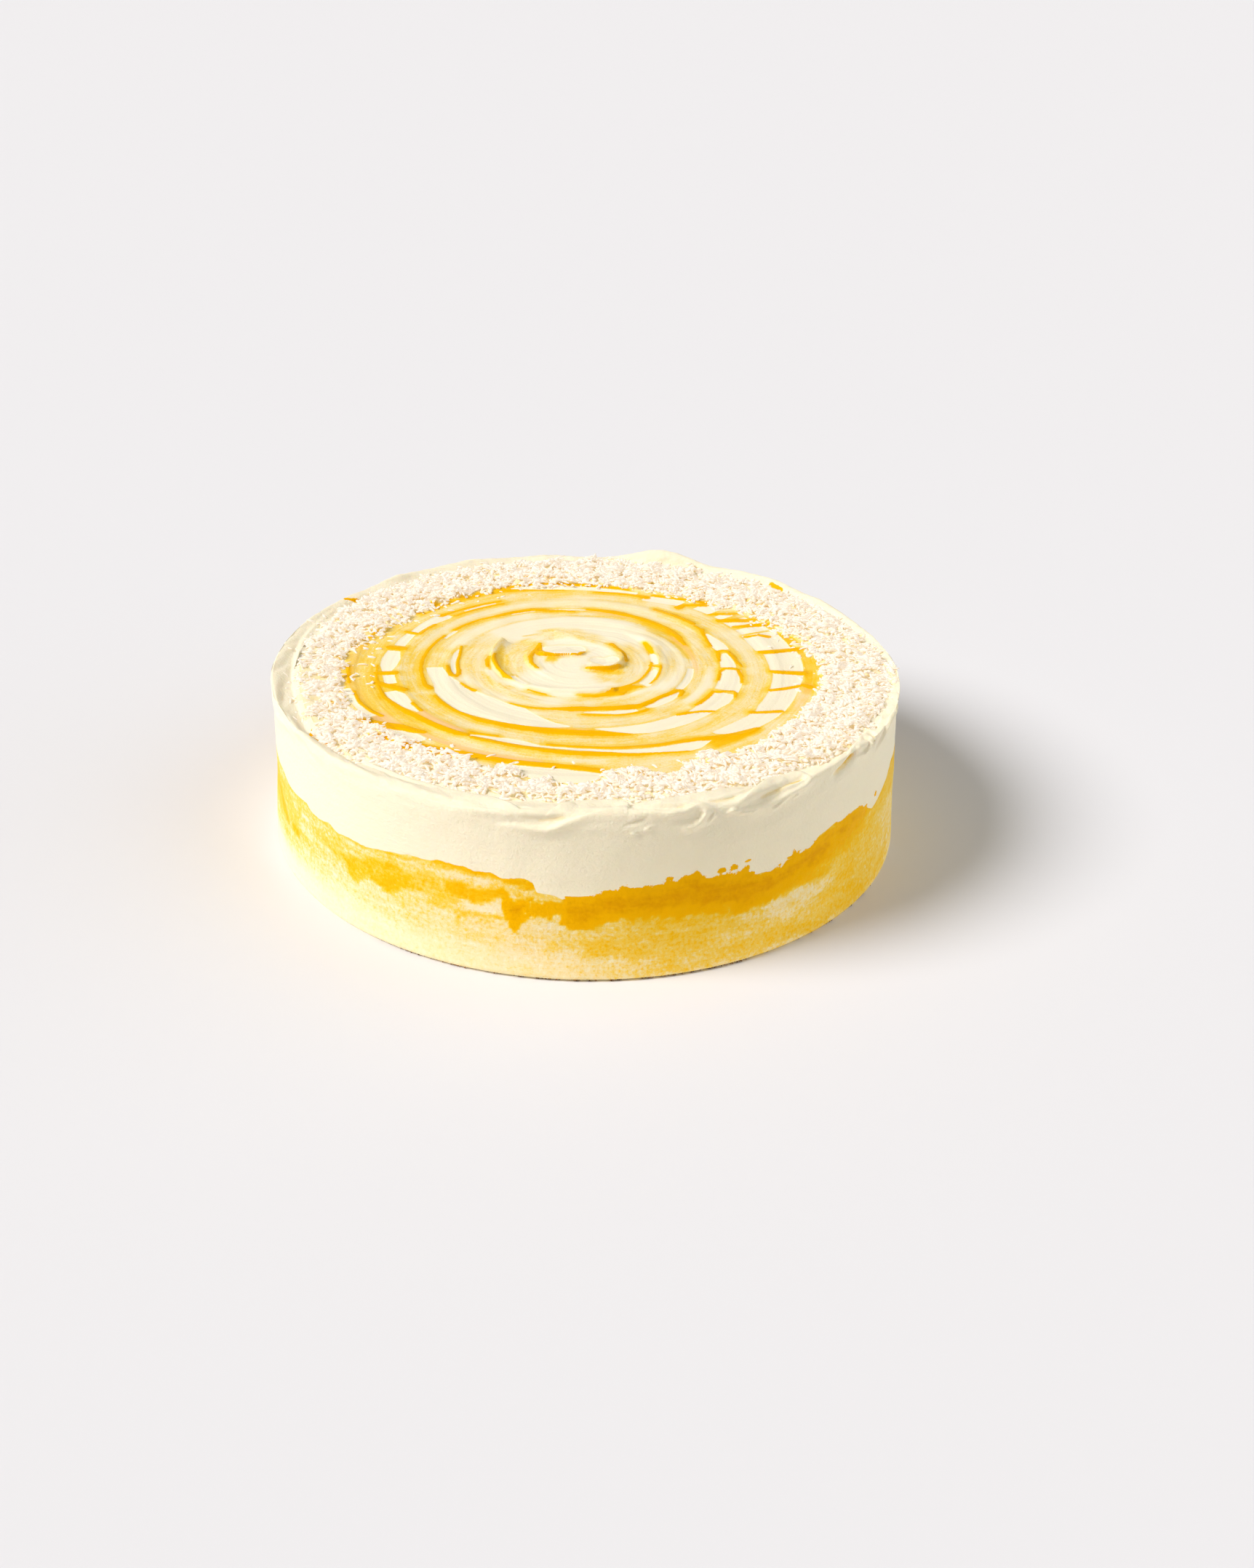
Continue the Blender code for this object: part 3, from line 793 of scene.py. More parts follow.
# Crests and grooves: steep width, gentle width, and x, y and rise along them
CURLS = tuple(Curl(stations, steep, gentle, Chart.PLAN) for steep, gentle, stations in (
    (0.8, 7, ((-19.5, 15, 0.2), (-20.5, 11, 1), (-18.5, 8.6, 1.4), (-13, 7.4, 1.5), (-7, 8, 1.4),
              (-3, 9.2, 1.1), (-0.5, 12, 0.2))),
    (1.6, 5, ((-1, -4.6, 0.2), (1, -5, 1.2), (5, -4.6, 1.6), (9, -3.6, 1.8), (12.2, -1.8, 1.8),
              (14.2, 1.5, 1.7), (15, 7, 1.5), (13.5, 13, 1.3), (10.5, 18, 1.2), (5.5, 22.5, 1.2),
              (0, 26, 1.3), (-7, 30, 1.6), (-14.5, 34, 2.1), (-18.5, 31.5, 1.4), (-22, 28, 0.7),
              (-28, 25.5, 0.2))),
    (1.2, 3.2, ((-36.6, 25.5, 0.3), (-37.2, 24, 2.4), (-38.8, 20, 2.2), (-40.4, 14, 1.9), (-40.6, 8, 1.7),
                (-39.6, 2, 1.5), (-37.6, -4, 1.4), (-34.5, -10, 1.1), (-30, -15.5, 0.9), (-24, -20.5, 0.9),
                (-15, -24, 1), (-4, -25, 1.2), (5, -24.2, 1.3), (10.6, -22.6, 1.1), (12, -20, 0.2))),
    (2.4, 6, ((18, 36, 0.2), (23, 31, 0.9), (26.5, 24, 1.4), (28.8, 15, 1.5), (30, 6, 1.4), (30.2, -2, 1.1),
              (29, -10, 0.8), (25, -17, 0.5), (20, -22, 0.2))),
    (1.5, 4, ((-25, 16, 0.1), (-25.8, 10, 0.6), (-25.2, 4, 0.8), (-22.6, -3, 0.7), (-18, -9, 0.4),
              (-13, -13, 0.1))),
))

# Folds and tears of the rim: steep width, gentle width, and bearing, distance across and rise along them
FOLDS = tuple(Curl(stations, steep, gentle, Chart.RIM) for steep, gentle, stations in (
    (-1.8, 6.5, ((150, -3, 0.2), (162, -5, 0.6), (170, -6.4, 0.9), (176, -8, 1.2), (182, -9.2, 1.4),
                 (189, -10, 1.5), (195, -10, 1.5), (201, -9.2, 1.5), (207, -7.8, 1.3), (210, -6.2, 1),
                 (211.5, -4.8, 0.2))),
    (0.9, 2.6, ((180, -0.7, 0.2), (188, 1, 0.6), (191, 5, 0.7), (197, 7, 0.7), (205, 2.5, 0.8),
                (210.5, 0.8, 0.8), (213, -1, 0.3))),
    (-1, 2.4, ((212, -7.4, 0.3), (217, -7.8, 0.9), (222, -8.2, 1), (228, -7.3, 1), (233.5, -6.8, 0.9),
               (239, -6.3, 0.7), (243, -6, 0.4))),
    (0.8, 1.8, ((221.5, -13.6, 0.4), (223.8, -12.4, 1.1), (225.4, -12, 1.1), (227.5, -10.9, 0.3))),
    (1, 2.8, ((241, -7.3, 0.4), (245.5, -6.4, 0.9), (248, -6, 1), (253, -4.4, 1.1), (255.8, -2, 1.2),
              (257.5, 0.6, 1.2), (259.5, 2.6, 1.1), (262, 2.4, 0.9), (265, 1.8, 0.3))),
    (0.7, 1.6, ((243, 3.2, 0.3), (248.8, 3.8, 0.6), (252.8, 3.2, 0.7), (256, 3.3, 0.7), (258, 4.3, 0.3))),
    (0.9, 2, ((256.5, 8.2, 0.2), (259, 7.6, 0.8), (262, 8.2, 1.2), (264, 8.2, 1.3), (265.3, 7.2, 1.3),
              (267, 5.2, 1.2), (269, 3.8, 1.1), (271, 2.5, 1.1), (273.2, 1.6, 1), (275.2, 0.4, 0.9),
              (277, -0.4, 0.4))),
    (1.6, 1.6, ((258.5, 4.8, -0.3), (260.8, 5, -0.8), (263, 5.3, -0.9), (265.5, 4.2, -0.7),
                (267, 2.8, -0.3))),
    (0.9, 3, ((264.6, 1.2, 0.3), (265.8, -2, 1), (267.8, -7, 1.3), (270.8, -8.5, 1.5), (273.2, -9, 1.5),
              (275.5, -8.6, 1.5), (276.8, -6.5, 1.4), (277.1, -2.3, 1.2), (276.8, 0.6, 0.3))),
    (1, 1.8, ((272.5, 1.4, 0.3), (276.2, 1.4, 0.6), (277.8, 2, 0.9), (280.2, 2.8, 1.1), (283.2, 3.7, 1.3),
              (285.8, 3.6, 1.3), (287.5, 2.8, 1.2), (288.6, 2.4, 1), (290, 3, 0.3))),
    (1.2, 1.2, ((277.8, 0, -0.2), (280.5, 0.9, -0.5), (283.8, 1.6, -0.7), (285.5, 1.6, -0.6),
                (287.2, 0.9, -0.2))),
    (1.4, 2.8, ((277.8, -7, 0.3), (280, -3.5, 1), (282.5, -3, 1.4), (285.8, -5, 1.5), (288.5, -5.4, 1.5),
                (291.5, -5.6, 1.5), (294.8, -7, 1.4), (297.2, -8, 1), (299.5, -9, 0.2))),
    (1.2, 1.2, ((288.8, 1.2, -0.2), (291.5, 1.4, -0.6), (294.5, 1.2, -0.8), (296.5, 0, -0.7),
                (299, -2, -0.5), (302, -5, -0.2))),
    (0.9, 2.2, ((292.6, 4, 0.3), (295, 3.6, 0.9), (296.8, 2.2, 1.2), (299.2, 0.1, 1.4), (303, -3.4, 1.5),
                (307.2, -5.2, 1.5), (309.3, -4.8, 1.5), (310.5, -2.6, 1.3), (310.4, 0.9, 0.3))),
    (0.8, 1.5, ((293.5, 6.4, 0.3), (299, 6.8, 0.7), (301, 6.4, 0.9), (303, 5.1, 1), (304.5, 4.2, 1.1),
                (306.8, 3.6, 1.1), (308.8, 2.8, 1), (310.4, 1.5, 0.4))),
    (1.4, 1.4, ((297.2, 3.9, -0.2), (300.2, 3.2, -0.7), (303.2, 1.4, -0.9), (306.5, -0.4, -1),
                (308.9, -0.8, -1.1), (310, -0.6, -0.4))),
    (0.8, 1.6, ((274, -13, 0.3), (279.5, -12, 0.8), (281.5, -10, 0.2))),
    (0.7, 1.2, ((286.2, -13, 0.5), (287, -11, 0.9), (288, -8.8, 0.3))),
    (-0.6, 2.2, ((288.6, 3.2, 0.3), (289.1, 5.7, 1.1), (288.3, 8.1, 1.3), (287.2, 9.4, 1.3),
                 (286.2, 9.9, 1.1), (285.4, 9, 0.3))),
    (0.7, 1, ((276.3, 6.8, -0.2), (277.5, 5.9, -0.6), (278.8, 5, -0.6), (279.8, 4.4, -0.2))),
    (0.5, 0.9, ((276.6, 10.6, 0.2), (277.6, 10, 0.7), (278.3, 9.4, 0.2))),
    (0.5, 0.9, ((279, 9, 0.2), (279.8, 8.6, 0.8), (280.5, 8.1, 0.2))),
    (0.6, 0.8, ((289.9, 9.4, 0.2), (290.3, 7.8, 0.9), (290.9, 6.6, 0.9), (291.4, 7.9, 0.2))),
    (0.6, 0.9, ((293.2, 6.6, 0.3), (293.9, 5.6, 1), (294.7, 6, 1), (295.2, 7, 0.3))),
    (0.5, 0.8, ((295.4, 7.8, 0.3), (296.6, 7.2, 0.9), (297.8, 7.8, 0.8), (298.6, 6.9, 0.2))),
    (0.6, 0.8, ((301.1, 7.6, 0.3), (302, 8.4, 0.9), (303, 7, 0.9), (304.4, 5.6, 0.3))),
    (0.5, 0.6, ((306.4, 6.2, 0.2), (307, 5.6, 0.6), (307.3, 6.4, 0.2))),
    (1.1, 1.5, ((315.6, 4.6, -0.2), (317.5, 3.9, -0.9), (319.6, 3, -1.6), (321.4, 1.6, -2),
                (322.3, 0.6, -1.4))),
    (1, 2.4, ((321.6, -0.8, 0.5), (323.4, -1.2, 1.4), (326.5, -3, 1.5), (330, -5, 1.5), (333, -6, 1.3),
              (335, -6, 0.4))),
    (0.7, 1, ((323.6, 3, 0.5), (325.2, 3.4, 1.2), (327.4, 2.2, 1.4), (328.4, -0.2, 1.4), (328.2, -2.4, 1.1),
              (326.6, -1.8, 0.6))),
    (1.2, 1.3, ((332, -3, -0.9), (330.6, -0.4, -1.9), (330.1, 2, -1.2))),
    (0.9, 2, ((331, 5.4, 0.4), (333, 3.4, 1), (335.4, 1.2, 1.1), (338.2, 0, 1.1), (342, 0.4, 1),
              (346, 1.4, 0.3))),
    (2.2, 3, ((338, -6.6, 0.4), (342, -7.4, 0.8), (346, -7.2, 1), (349.4, -4.8, 0.9), (348.6, -1.2, 0.3))),
    (0.6, 0.9, ((338, -3.6, 0.6), (339.5, -3.8, 0.9), (340, -2.4, 0.4))),
    (0.9, 0.9, ((335.9, -4.4, -0.9), (334.7, -3.2, -1))),
    (0.9, 2, ((353, -4, 0.3), (357, -4.6, 0.9), (361, -3.4, 1.2), (364, -1.2, 0.8), (367, 0, 0.2))),
))

# Puree that shows between the folds: bearing, distance across and half width
RIM_LINES = drawn(Chart.RIM,
    ((209.8, -6.6, 0.4), (211.6, -4.6, 0.7), (212.9, -2.2, 0.8), (213.8, -3.8, 0.8), (215.2, -5.6, 0.6),
     (217, -6.8, 0.3)),
    ((146, -7.4, 1.2), (147.4, -3.6, 1.6), (148.8, -0.6, 1)),
    ((44.2, -3.8, 1.1), (47.2, -2.8, 1.1)),
    ((314, -17.4, 1.2), (315.4, -16.4, 1)),
)


# --------------------------------------------------------------------------------------------------
# Meshes
# --------------------------------------------------------------------------------------------------


class PolarGrid:
    """Closed mesh made of rings that are joined one to the next."""

    def __init__(self) -> None:
        """Start with no points and no faces."""
        self.points: list[np.ndarray] = []
        self.faces: list[np.ndarray] = []
        self.count = 0
        self.last: np.ndarray | None = None

    def ring(self, points: np.ndarray) -> np.ndarray:
        """Add a ring and join it to the one before, which has as many points or twice as many.

        Args:
            points: The ring's points, one a row, in order of bearing.

        Returns:
            The points' numbers.
        """
        index = np.arange(self.count, self.count + len(points))
        self.points.append(points)
        self.count += len(points)
        if self.last is not None:
            self._join(self.last, index)
        self.last = index
        return index

    def _join(self, outer: np.ndarray, inner: np.ndarray) -> None:
        """Fill the strip between two rings with triangles."""
        if len(outer) == len(inner):
            after, far = np.roll(outer, -1), np.roll(inner, -1)
            self.faces.append(np.stack([outer, after, far], axis=1))
            self.faces.append(np.stack([outer, far, inner], axis=1))
            return
        first, middle = outer[0::2], outer[1::2]
        after, far = np.roll(first, -1), np.roll(inner, -1)
        self.faces.append(np.stack([first, middle, inner], axis=1))
        self.faces.append(np.stack([middle, far, inner], axis=1))
        self.faces.append(np.stack([middle, after, far], axis=1))

    def close(self, ring: np.ndarray, point: Sequence[float], upwards: bool) -> None:
        """Close the grid with a fan from a ring to one point."""
        self.points.append(np.array([point], dtype=float))
        middle = np.full_like(ring, self.count)
        self.count += 1
        after = np.roll(ring, -1)
        order = [ring, after, middle] if upwards else [after, ring, middle]
        self.faces.append(np.stack(order, axis=1))

    def mesh(self, name: str) -> bpy.types.Mesh:
        """Make the Blender mesh, in metres and shaded smooth."""
        return make_mesh(name, np.concatenate(self.points) * MM, np.concatenate(self.faces))


def make_mesh(name: str, points: np.ndarray, faces: np.ndarray) -> bpy.types.Mesh:
    """Make a smooth-shaded mesh from points in metres and faces of one size."""
    mesh = bpy.data.meshes.new(name)
    mesh.from_pydata(points.tolist(), [], faces.tolist())
    mesh.update()
    mesh.shade_smooth()
    return mesh


def ring_faces(rows: int, segments: int) -> np.ndarray:
    """Four-sided faces between rings of points, in order from the inmost, that face upwards."""
    faces = []
    for row in range(rows - 1):
        first = row * segments + np.arange(segments)
        after = row * segments + (np.arange(segments) + 1) % segments
        faces.append(np.stack([first, first + segments, after + segments, after], axis=1))
    return np.concatenate(faces)


def add_object(name: str, mesh: bpy.types.Mesh) -> bpy.types.Object:
    """Make an object at the origin for a mesh and link it to the scene."""
    item = bpy.data.objects.new(name, mesh)
    bpy.context.scene.collection.objects.link(item)
    return item


def store(mesh: bpy.types.Mesh, name: str, values: np.ndarray) -> None:
    """Keep one number for each point of a mesh, for its material."""
    attribute = mesh.attributes.new(name, "FLOAT", "POINT")
    attribute.data.foreach_set("value", values.astype(np.float32))


def settle(item: bpy.types.Object) -> None:
    """Fix a finished piece to the cake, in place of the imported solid, and report it."""
    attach(item, "root")
    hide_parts(NODE)
    LOG.info("%s: %d faces", item.name, len(item.data.polygons))


# --------------------------------------------------------------------------------------------------
# Shader building
# --------------------------------------------------------------------------------------------------


class Graph:
    """Adds nodes to one node tree and links them."""

    def __init__(self, tree: bpy.types.NodeTree) -> None:
        """Take over a tree and empty it."""
        self.tree = tree
        tree.nodes.clear()

    def node(self, kind: str, **settings: object) -> bpy.types.Node:
        """Add a node of a kind with its settings."""
        made = self.tree.nodes.new(kind)
        for name, value in settings.items():
            setattr(made, name, value)
        return made

    def feed(self, socket: bpy.types.NodeSocket, value: object) -> None:
        """Link a socket into another, or set it to a plain value."""
        if isinstance(value, bpy.types.NodeSocket):
            self.tree.links.new(value, socket)
        else:
            socket.default_value = value

    def fed(self, kind: str, inputs: dict[str | int, object], **settings: object) -> bpy.types.Node:
        """Add a node of a kind with its settings, and feed its inputs by name or number."""
        made = self.node(kind, **settings)
        for name, value in inputs.items():
            self.feed(made.inputs[name], value)
        return made

    def maths(self, operation: str, *values: object) -> bpy.types.NodeSocket:
        """Add a Math node and return its result."""
        return self.fed("ShaderNodeMath", dict(enumerate(values)), operation=operation).outputs[0]

    def summed(self, noises: Sequence[bpy.types.NodeSocket], widths: Sequence[float]) -> object:
        """Sum some noises, each about 0 and as wide as given."""
        total = 0.0
        for noise, width in zip(noises, widths):
            total = self.maths("ADD", total, self.maths("MULTIPLY_ADD", noise, width, -0.5 * width))
        return total

    def vector(self, operation: str, first: object, second: object = (0.0, 0.0, 0.0)) -> bpy.types.Node:
        """Add a Vector Math node."""
        return self.fed("ShaderNodeVectorMath", {0: first, 1: second}, operation=operation)

    def stretch(self, value: object, low: float, high: float, smooth: bool = True) -> bpy.types.NodeSocket:
        """Map low and high to 0 and 1."""
        kind = "SMOOTHSTEP" if smooth else "LINEAR"
        limits = {"Value": value, "From Min": low, "From Max": high}
        return self.fed("ShaderNodeMapRange", limits, interpolation_type=kind).outputs[0]

    def mix(self, factor: object, first: object, second: object) -> bpy.types.NodeSocket:
        """Mix two colours."""
        inputs = {"Factor": factor, MIX_FIRST: first, MIX_SECOND: second}
        return self.fed("ShaderNodeMix", inputs, data_type="RGBA").outputs[MIX_RESULT]

    def noise(self, vector: object, scale: float, detail: float = 2.0,
              roughness: float = 0.5) -> bpy.types.NodeSocket:
        """Add a Noise Texture and return its value."""
        inputs = {"Vector": vector, "Scale": scale, "Detail": detail, "Roughness": roughness}
        return self.fed("ShaderNodeTexNoise", inputs).outputs[0]

    def ramp(self, factor: object, stops: Sequence[tuple[float, Colour]]) -> bpy.types.NodeSocket:
        """Add a Color Ramp with the given places and display colours."""
        made = self.fed("ShaderNodeValToRGB", {0: factor})
        elements = made.color_ramp.elements
        while len(elements) < len(stops):
            elements.new(0.5)
        for element, (place, colour) in zip(elements, stops):
            element.position = place
            element.color = linear(colour)
        return made.outputs[0]

    def attribute(self, name: str) -> bpy.types.NodeSocket:
        """Read a number kept on the mesh."""
        return self.node("ShaderNodeAttribute", attribute_name=name).outputs["Fac"]

    def bump(self, height: object, strength: float, distance: float) -> bpy.types.NodeSocket:
        """Turn a height into a normal."""
        inputs = {"Strength": strength, "Distance": distance, "Height": height}
        return self.fed("ShaderNodeBump", inputs).outputs[0]

    def show(self, settings: dict[str, object]) -> None:
        """Add the surface shader with its settings, and the output."""
        shader = self.fed("ShaderNodeBsdfPrincipled", settings)
        self.fed("ShaderNodeOutputMaterial", {"Surface": shader.outputs[0]})


def new_material(name: str) -> tuple[bpy.types.Material, Graph, bpy.types.NodeSocket]:
    """Make a material.

    Args:
        name: Its name.

    Returns:
        The material, its empty graph, and in it the place of a point on the cake.
    """
    made = bpy.data.materials.new(name)
    made.use_nodes = True
    graph = Graph(made.node_tree)
    return made, graph, graph.node("ShaderNodeTexCoord").outputs["Object"]


def new_group(name: str, takes: Sequence[tuple[str, str]],
              gives: Sequence[tuple[str, str]]) -> bpy.types.NodeTree:
    """Make an empty shader node group with its sockets.

    Args:
        name: The group's name.
        takes: Name and kind of each input.
        gives: Name and kind of each output.

    Returns:
        The group.
    """
    group = bpy.data.node_groups.new(name, "ShaderNodeTree")
    for title, kind in takes:
        group.interface.new_socket(title, in_out="INPUT", socket_type=kind)
    for title, kind in gives:
        group.interface.new_socket(title, in_out="OUTPUT", socket_type=kind)
    return group


@dataclass(frozen=True)
class Tones:
    """Display colours of cream and of puree from a trace to a thick layer.

    The colour follows the amount of puree by the steps, and is raised beside thick puree by the halo
    and beside bare cream by the rim. Ranges are depths in millimetres.
    """

    cream: Colour = (245, 235, 208)
    trace: Colour = (243, 222, 166)
    smear: Colour = (243, 207, 94)
    strong: Colour = (243, 191, 26)
    thick: Colour = (244, 181, 0)
    deep: Colour = (221, 150, 0)
    blush: Colour = (248, 203, 146)
    halo: float = 0.24
    rim: float = 0.1
    near_thick: tuple[float, float] = (-3.4, 0.2)
    near_bare: tuple[float, float] = (-2.2, -0.1)
    steps: tuple[float, ...] = (0.0, 0.2, 0.42, 0.72, 1.0)
    bare_range: tuple[float, float] = (-0.15, 0.3)
    thick_range: tuple[float, float] = (-0.35, 0.25)
    deep_range: tuple[float, float] = (0.6, 7.5)
    damp: float = 0.6

    def group(self) -> bpy.types.NodeTree:
        """Make the node group that colours cream by the puree on it.

        Returns:
            A group from the amount of puree, the depths inside bare cream and thick puree, the
            blush, and the raggedness of their edges, to a colour and how wet the surface is.
        """
        number = "NodeSocketFloat"
        titles = ("Amount", "Bare", "Thick", "Blush", "Ragged Bare", "Ragged Thick")
        group = new_group("mango_tint", [(title, number) for title in titles],
                          (("Color", "NodeSocketColor"), ("Wet", number)))
        graph = Graph(group)
        given = graph.node("NodeGroupInput").outputs
        beside_thick = graph.stretch(given["Thick"], *self.near_thick)
        beside_bare = graph.stretch(given["Bare"], *self.near_bare)
        near = graph.maths("MULTIPLY_ADD", beside_thick, self.halo, given["Amount"])
        near = graph.maths("MULTIPLY_ADD", beside_bare, self.rim, near)
        colours = (self.cream, self.trace, self.smear, self.strong, self.thick)
        soft = graph.ramp(near, tuple(zip(self.steps, colours)))
        soft = graph.mix(given["Blush"], soft, linear(self.blush))
        bare = graph.stretch(graph.maths("ADD", given["Bare"], given["Ragged Bare"]), *self.bare_range)
        depth = graph.maths("ADD", given["Thick"], given["Ragged Thick"])
        thick = graph.stretch(depth, *self.thick_range)
        body = graph.mix(graph.stretch(depth, *self.deep_range), linear(self.thick), linear(self.deep))
        colour = graph.mix(thick, graph.mix(bare, soft, linear(self.cream)), body)
        amount = graph.maths("MULTIPLY", given["Amount"], graph.maths("SUBTRACT", 1.0, bare))
        wet = graph.maths("MAXIMUM", thick, graph.maths("MULTIPLY", amount, self.damp))
        graph.fed("NodeGroupOutput", {"Color": colour, "Wet": wet})
        return group


@dataclass(frozen=True)
class Cream:
    """Finish of whipped cream with puree worked into it.

    The streaks run round a middle, in one radian of which there are streak_turns of them, and are
    streak_width across. Streaks, fibres and blotches sway the amount of puree and, in millimetres,
    the edges of thick puree. Specks show in the top of the fibres' range, and the sway is held back
    where the amount is small.
    """

    name: str
    middle: tuple[float, float]
    streak_turns: float
    streak_width: float
    upright: bool
    sways: tuple[float, float, float] = (0.6, 0.45, 0.5)
    fibre_scale: float = 1100.0
    blotch_scale: float = 170.0
    speckle: float = 0.12
    speck_range: tuple[float, float] = (0.58, 0.68)
    held_below: float = 0.35
    ragged_bare: float = 0.9
    ragged_thick: tuple[float, float, float] = (0.0, 0.9, 0.9)
    bump_strength: float = 0.5
    grain: float = 0.0004
    streak_rise: float = 0.5
    fibre_rise: float = 0.7
    shine: float = 0.06
    roughness: float = 0.5
    wet_roughness: float = 0.25
    softness: float = 0.12
    soft_radius: Colour = (2.4, 1.6, 0.8)

    def material(self, tint: bpy.types.NodeTree) -> bpy.types.Material:
        """Make the material.

        Args:
            tint: The group that colours cream by the puree on it.

        Returns:
            The material.
        """
        made, graph, place = new_material(self.name)
        offset = graph.vector("SUBTRACT", place, (self.middle[0] * MM, self.middle[1] * MM, 0.0)).outputs[0]
        flat = graph.vector("MULTIPLY", offset, (1.0, 1.0, 0.0)).outputs[0]
        radius = graph.vector("LENGTH", flat).outputs["Value"]
        away = graph.vector("NORMALIZE", flat).outputs[0]
        height = graph.fed("ShaderNodeSeparateXYZ", {0: offset}).outputs["Z"]
        across = height if self.upright else radius
        turn = graph.vector("SCALE", away)
        turn.inputs["Scale"].default_value = self.streak_turns
        lengthways = graph.node("ShaderNodeCombineXYZ")
        graph.feed(lengthways.inputs["Z"], graph.maths("DIVIDE", across, self.streak_width * MM))
        streak_place = graph.vector("ADD", turn.outputs[0], lengthways.outputs[0]).outputs[0]
        streak = graph.noise(streak_place, 1.0, 3.0, 0.6)
        fibre = graph.noise(place, self.fibre_scale, 3.0, 0.65)
        blotch = graph.noise(place, self.blotch_scale, 3.0, 0.55)
        amount = graph.attribute("amount")
        noises = (streak, fibre, blotch)
        sway = graph.summed(noises, self.sways)
        specks = graph.maths("MULTIPLY", graph.stretch(fibre, *self.speck_range), self.speckle)
        sway = graph.maths("ADD", sway, specks)
        held = graph.stretch(amount, 0.0, self.held_below, smooth=False)
        amount = graph.maths("ADD", amount, graph.maths("MULTIPLY", sway, held))
        colours = graph.node("ShaderNodeGroup", node_tree=tint)
        graph.feed(colours.inputs["Amount"], amount)
        for title in ("Bare", "Thick", "Blush"):
            graph.feed(colours.inputs[title], graph.attribute(title.lower()))
        small = self.ragged_bare
        graph.feed(colours.inputs["Ragged Bare"], graph.maths("MULTIPLY_ADD", fibre, small, -0.5 * small))
        graph.feed(colours.inputs["Ragged Thick"], graph.summed(noises, self.ragged_thick))
        fine = graph.maths("MULTIPLY", fibre, self.fibre_rise)
        relief = graph.maths("MULTIPLY_ADD", streak, self.streak_rise, fine)
        change = self.wet_roughness - self.roughness
        graph.show({
            "Base Color": colours.outputs["Color"],
            "Roughness": graph.maths("MULTIPLY_ADD", colours.outputs["Wet"], change, self.roughness),
            "Normal": graph.bump(relief, self.bump_strength, self.grain),
            "Specular IOR Level": self.shine,
            "Subsurface Weight": self.softness,
            "Subsurface Radius": self.soft_radius,
            "Subsurface Scale": MM,
        })
        return made


@dataclass(frozen=True)
class Coconut:
    """Finish of dried shredded coconut: nearly white and a little warmer in random patches.

    Its emission is painted light: it lifts the shade between the flakes evenly and stands in for
    the light that thin flakes let through.
    """

    name: str = "coconut"
    pale: Colour = (190, 187, 186)
    warm: Colour = (193, 181, 166)
    roughness: float = 0.6
    shine: float = 0.12
    painted_glow: Colour = (255, 235, 205)
    painted_glow_strength: float = 0.53
    bump_strength: float = 0.15
    grain: float = 0.0001
    shade_scale: float = 330.0
    fibre_scale: float = 2600.0
    warm_range: tuple[float, float] = (0.42, 0.72)

    def material(self) -> bpy.types.Material:
        """Make the material."""
        made, graph, place = new_material(self.name)
        shade = graph.noise(place, self.shade_scale, 2.0, 0.5)
        fibre = graph.noise(place, self.fibre_scale, 2.0, 0.6)
        warmth = graph.stretch(shade, *self.warm_range)
        colour = graph.mix(warmth, linear(self.pale), linear(self.warm))
        graph.show({
            "Base Color": colour,
            "Normal": graph.bump(fibre, self.bump_strength, self.grain),
            "Roughness": self.roughness,
            "Specular IOR Level": self.shine,
            # Painted light: an even emission that brightens the coconut's shade
            "Emission Color": linear(self.painted_glow),
            "Emission Strength": self.painted_glow_strength,
        })
        return made


# --------------------------------------------------------------------------------------------------
# The swirled top
# --------------------------------------------------------------------------------------------------


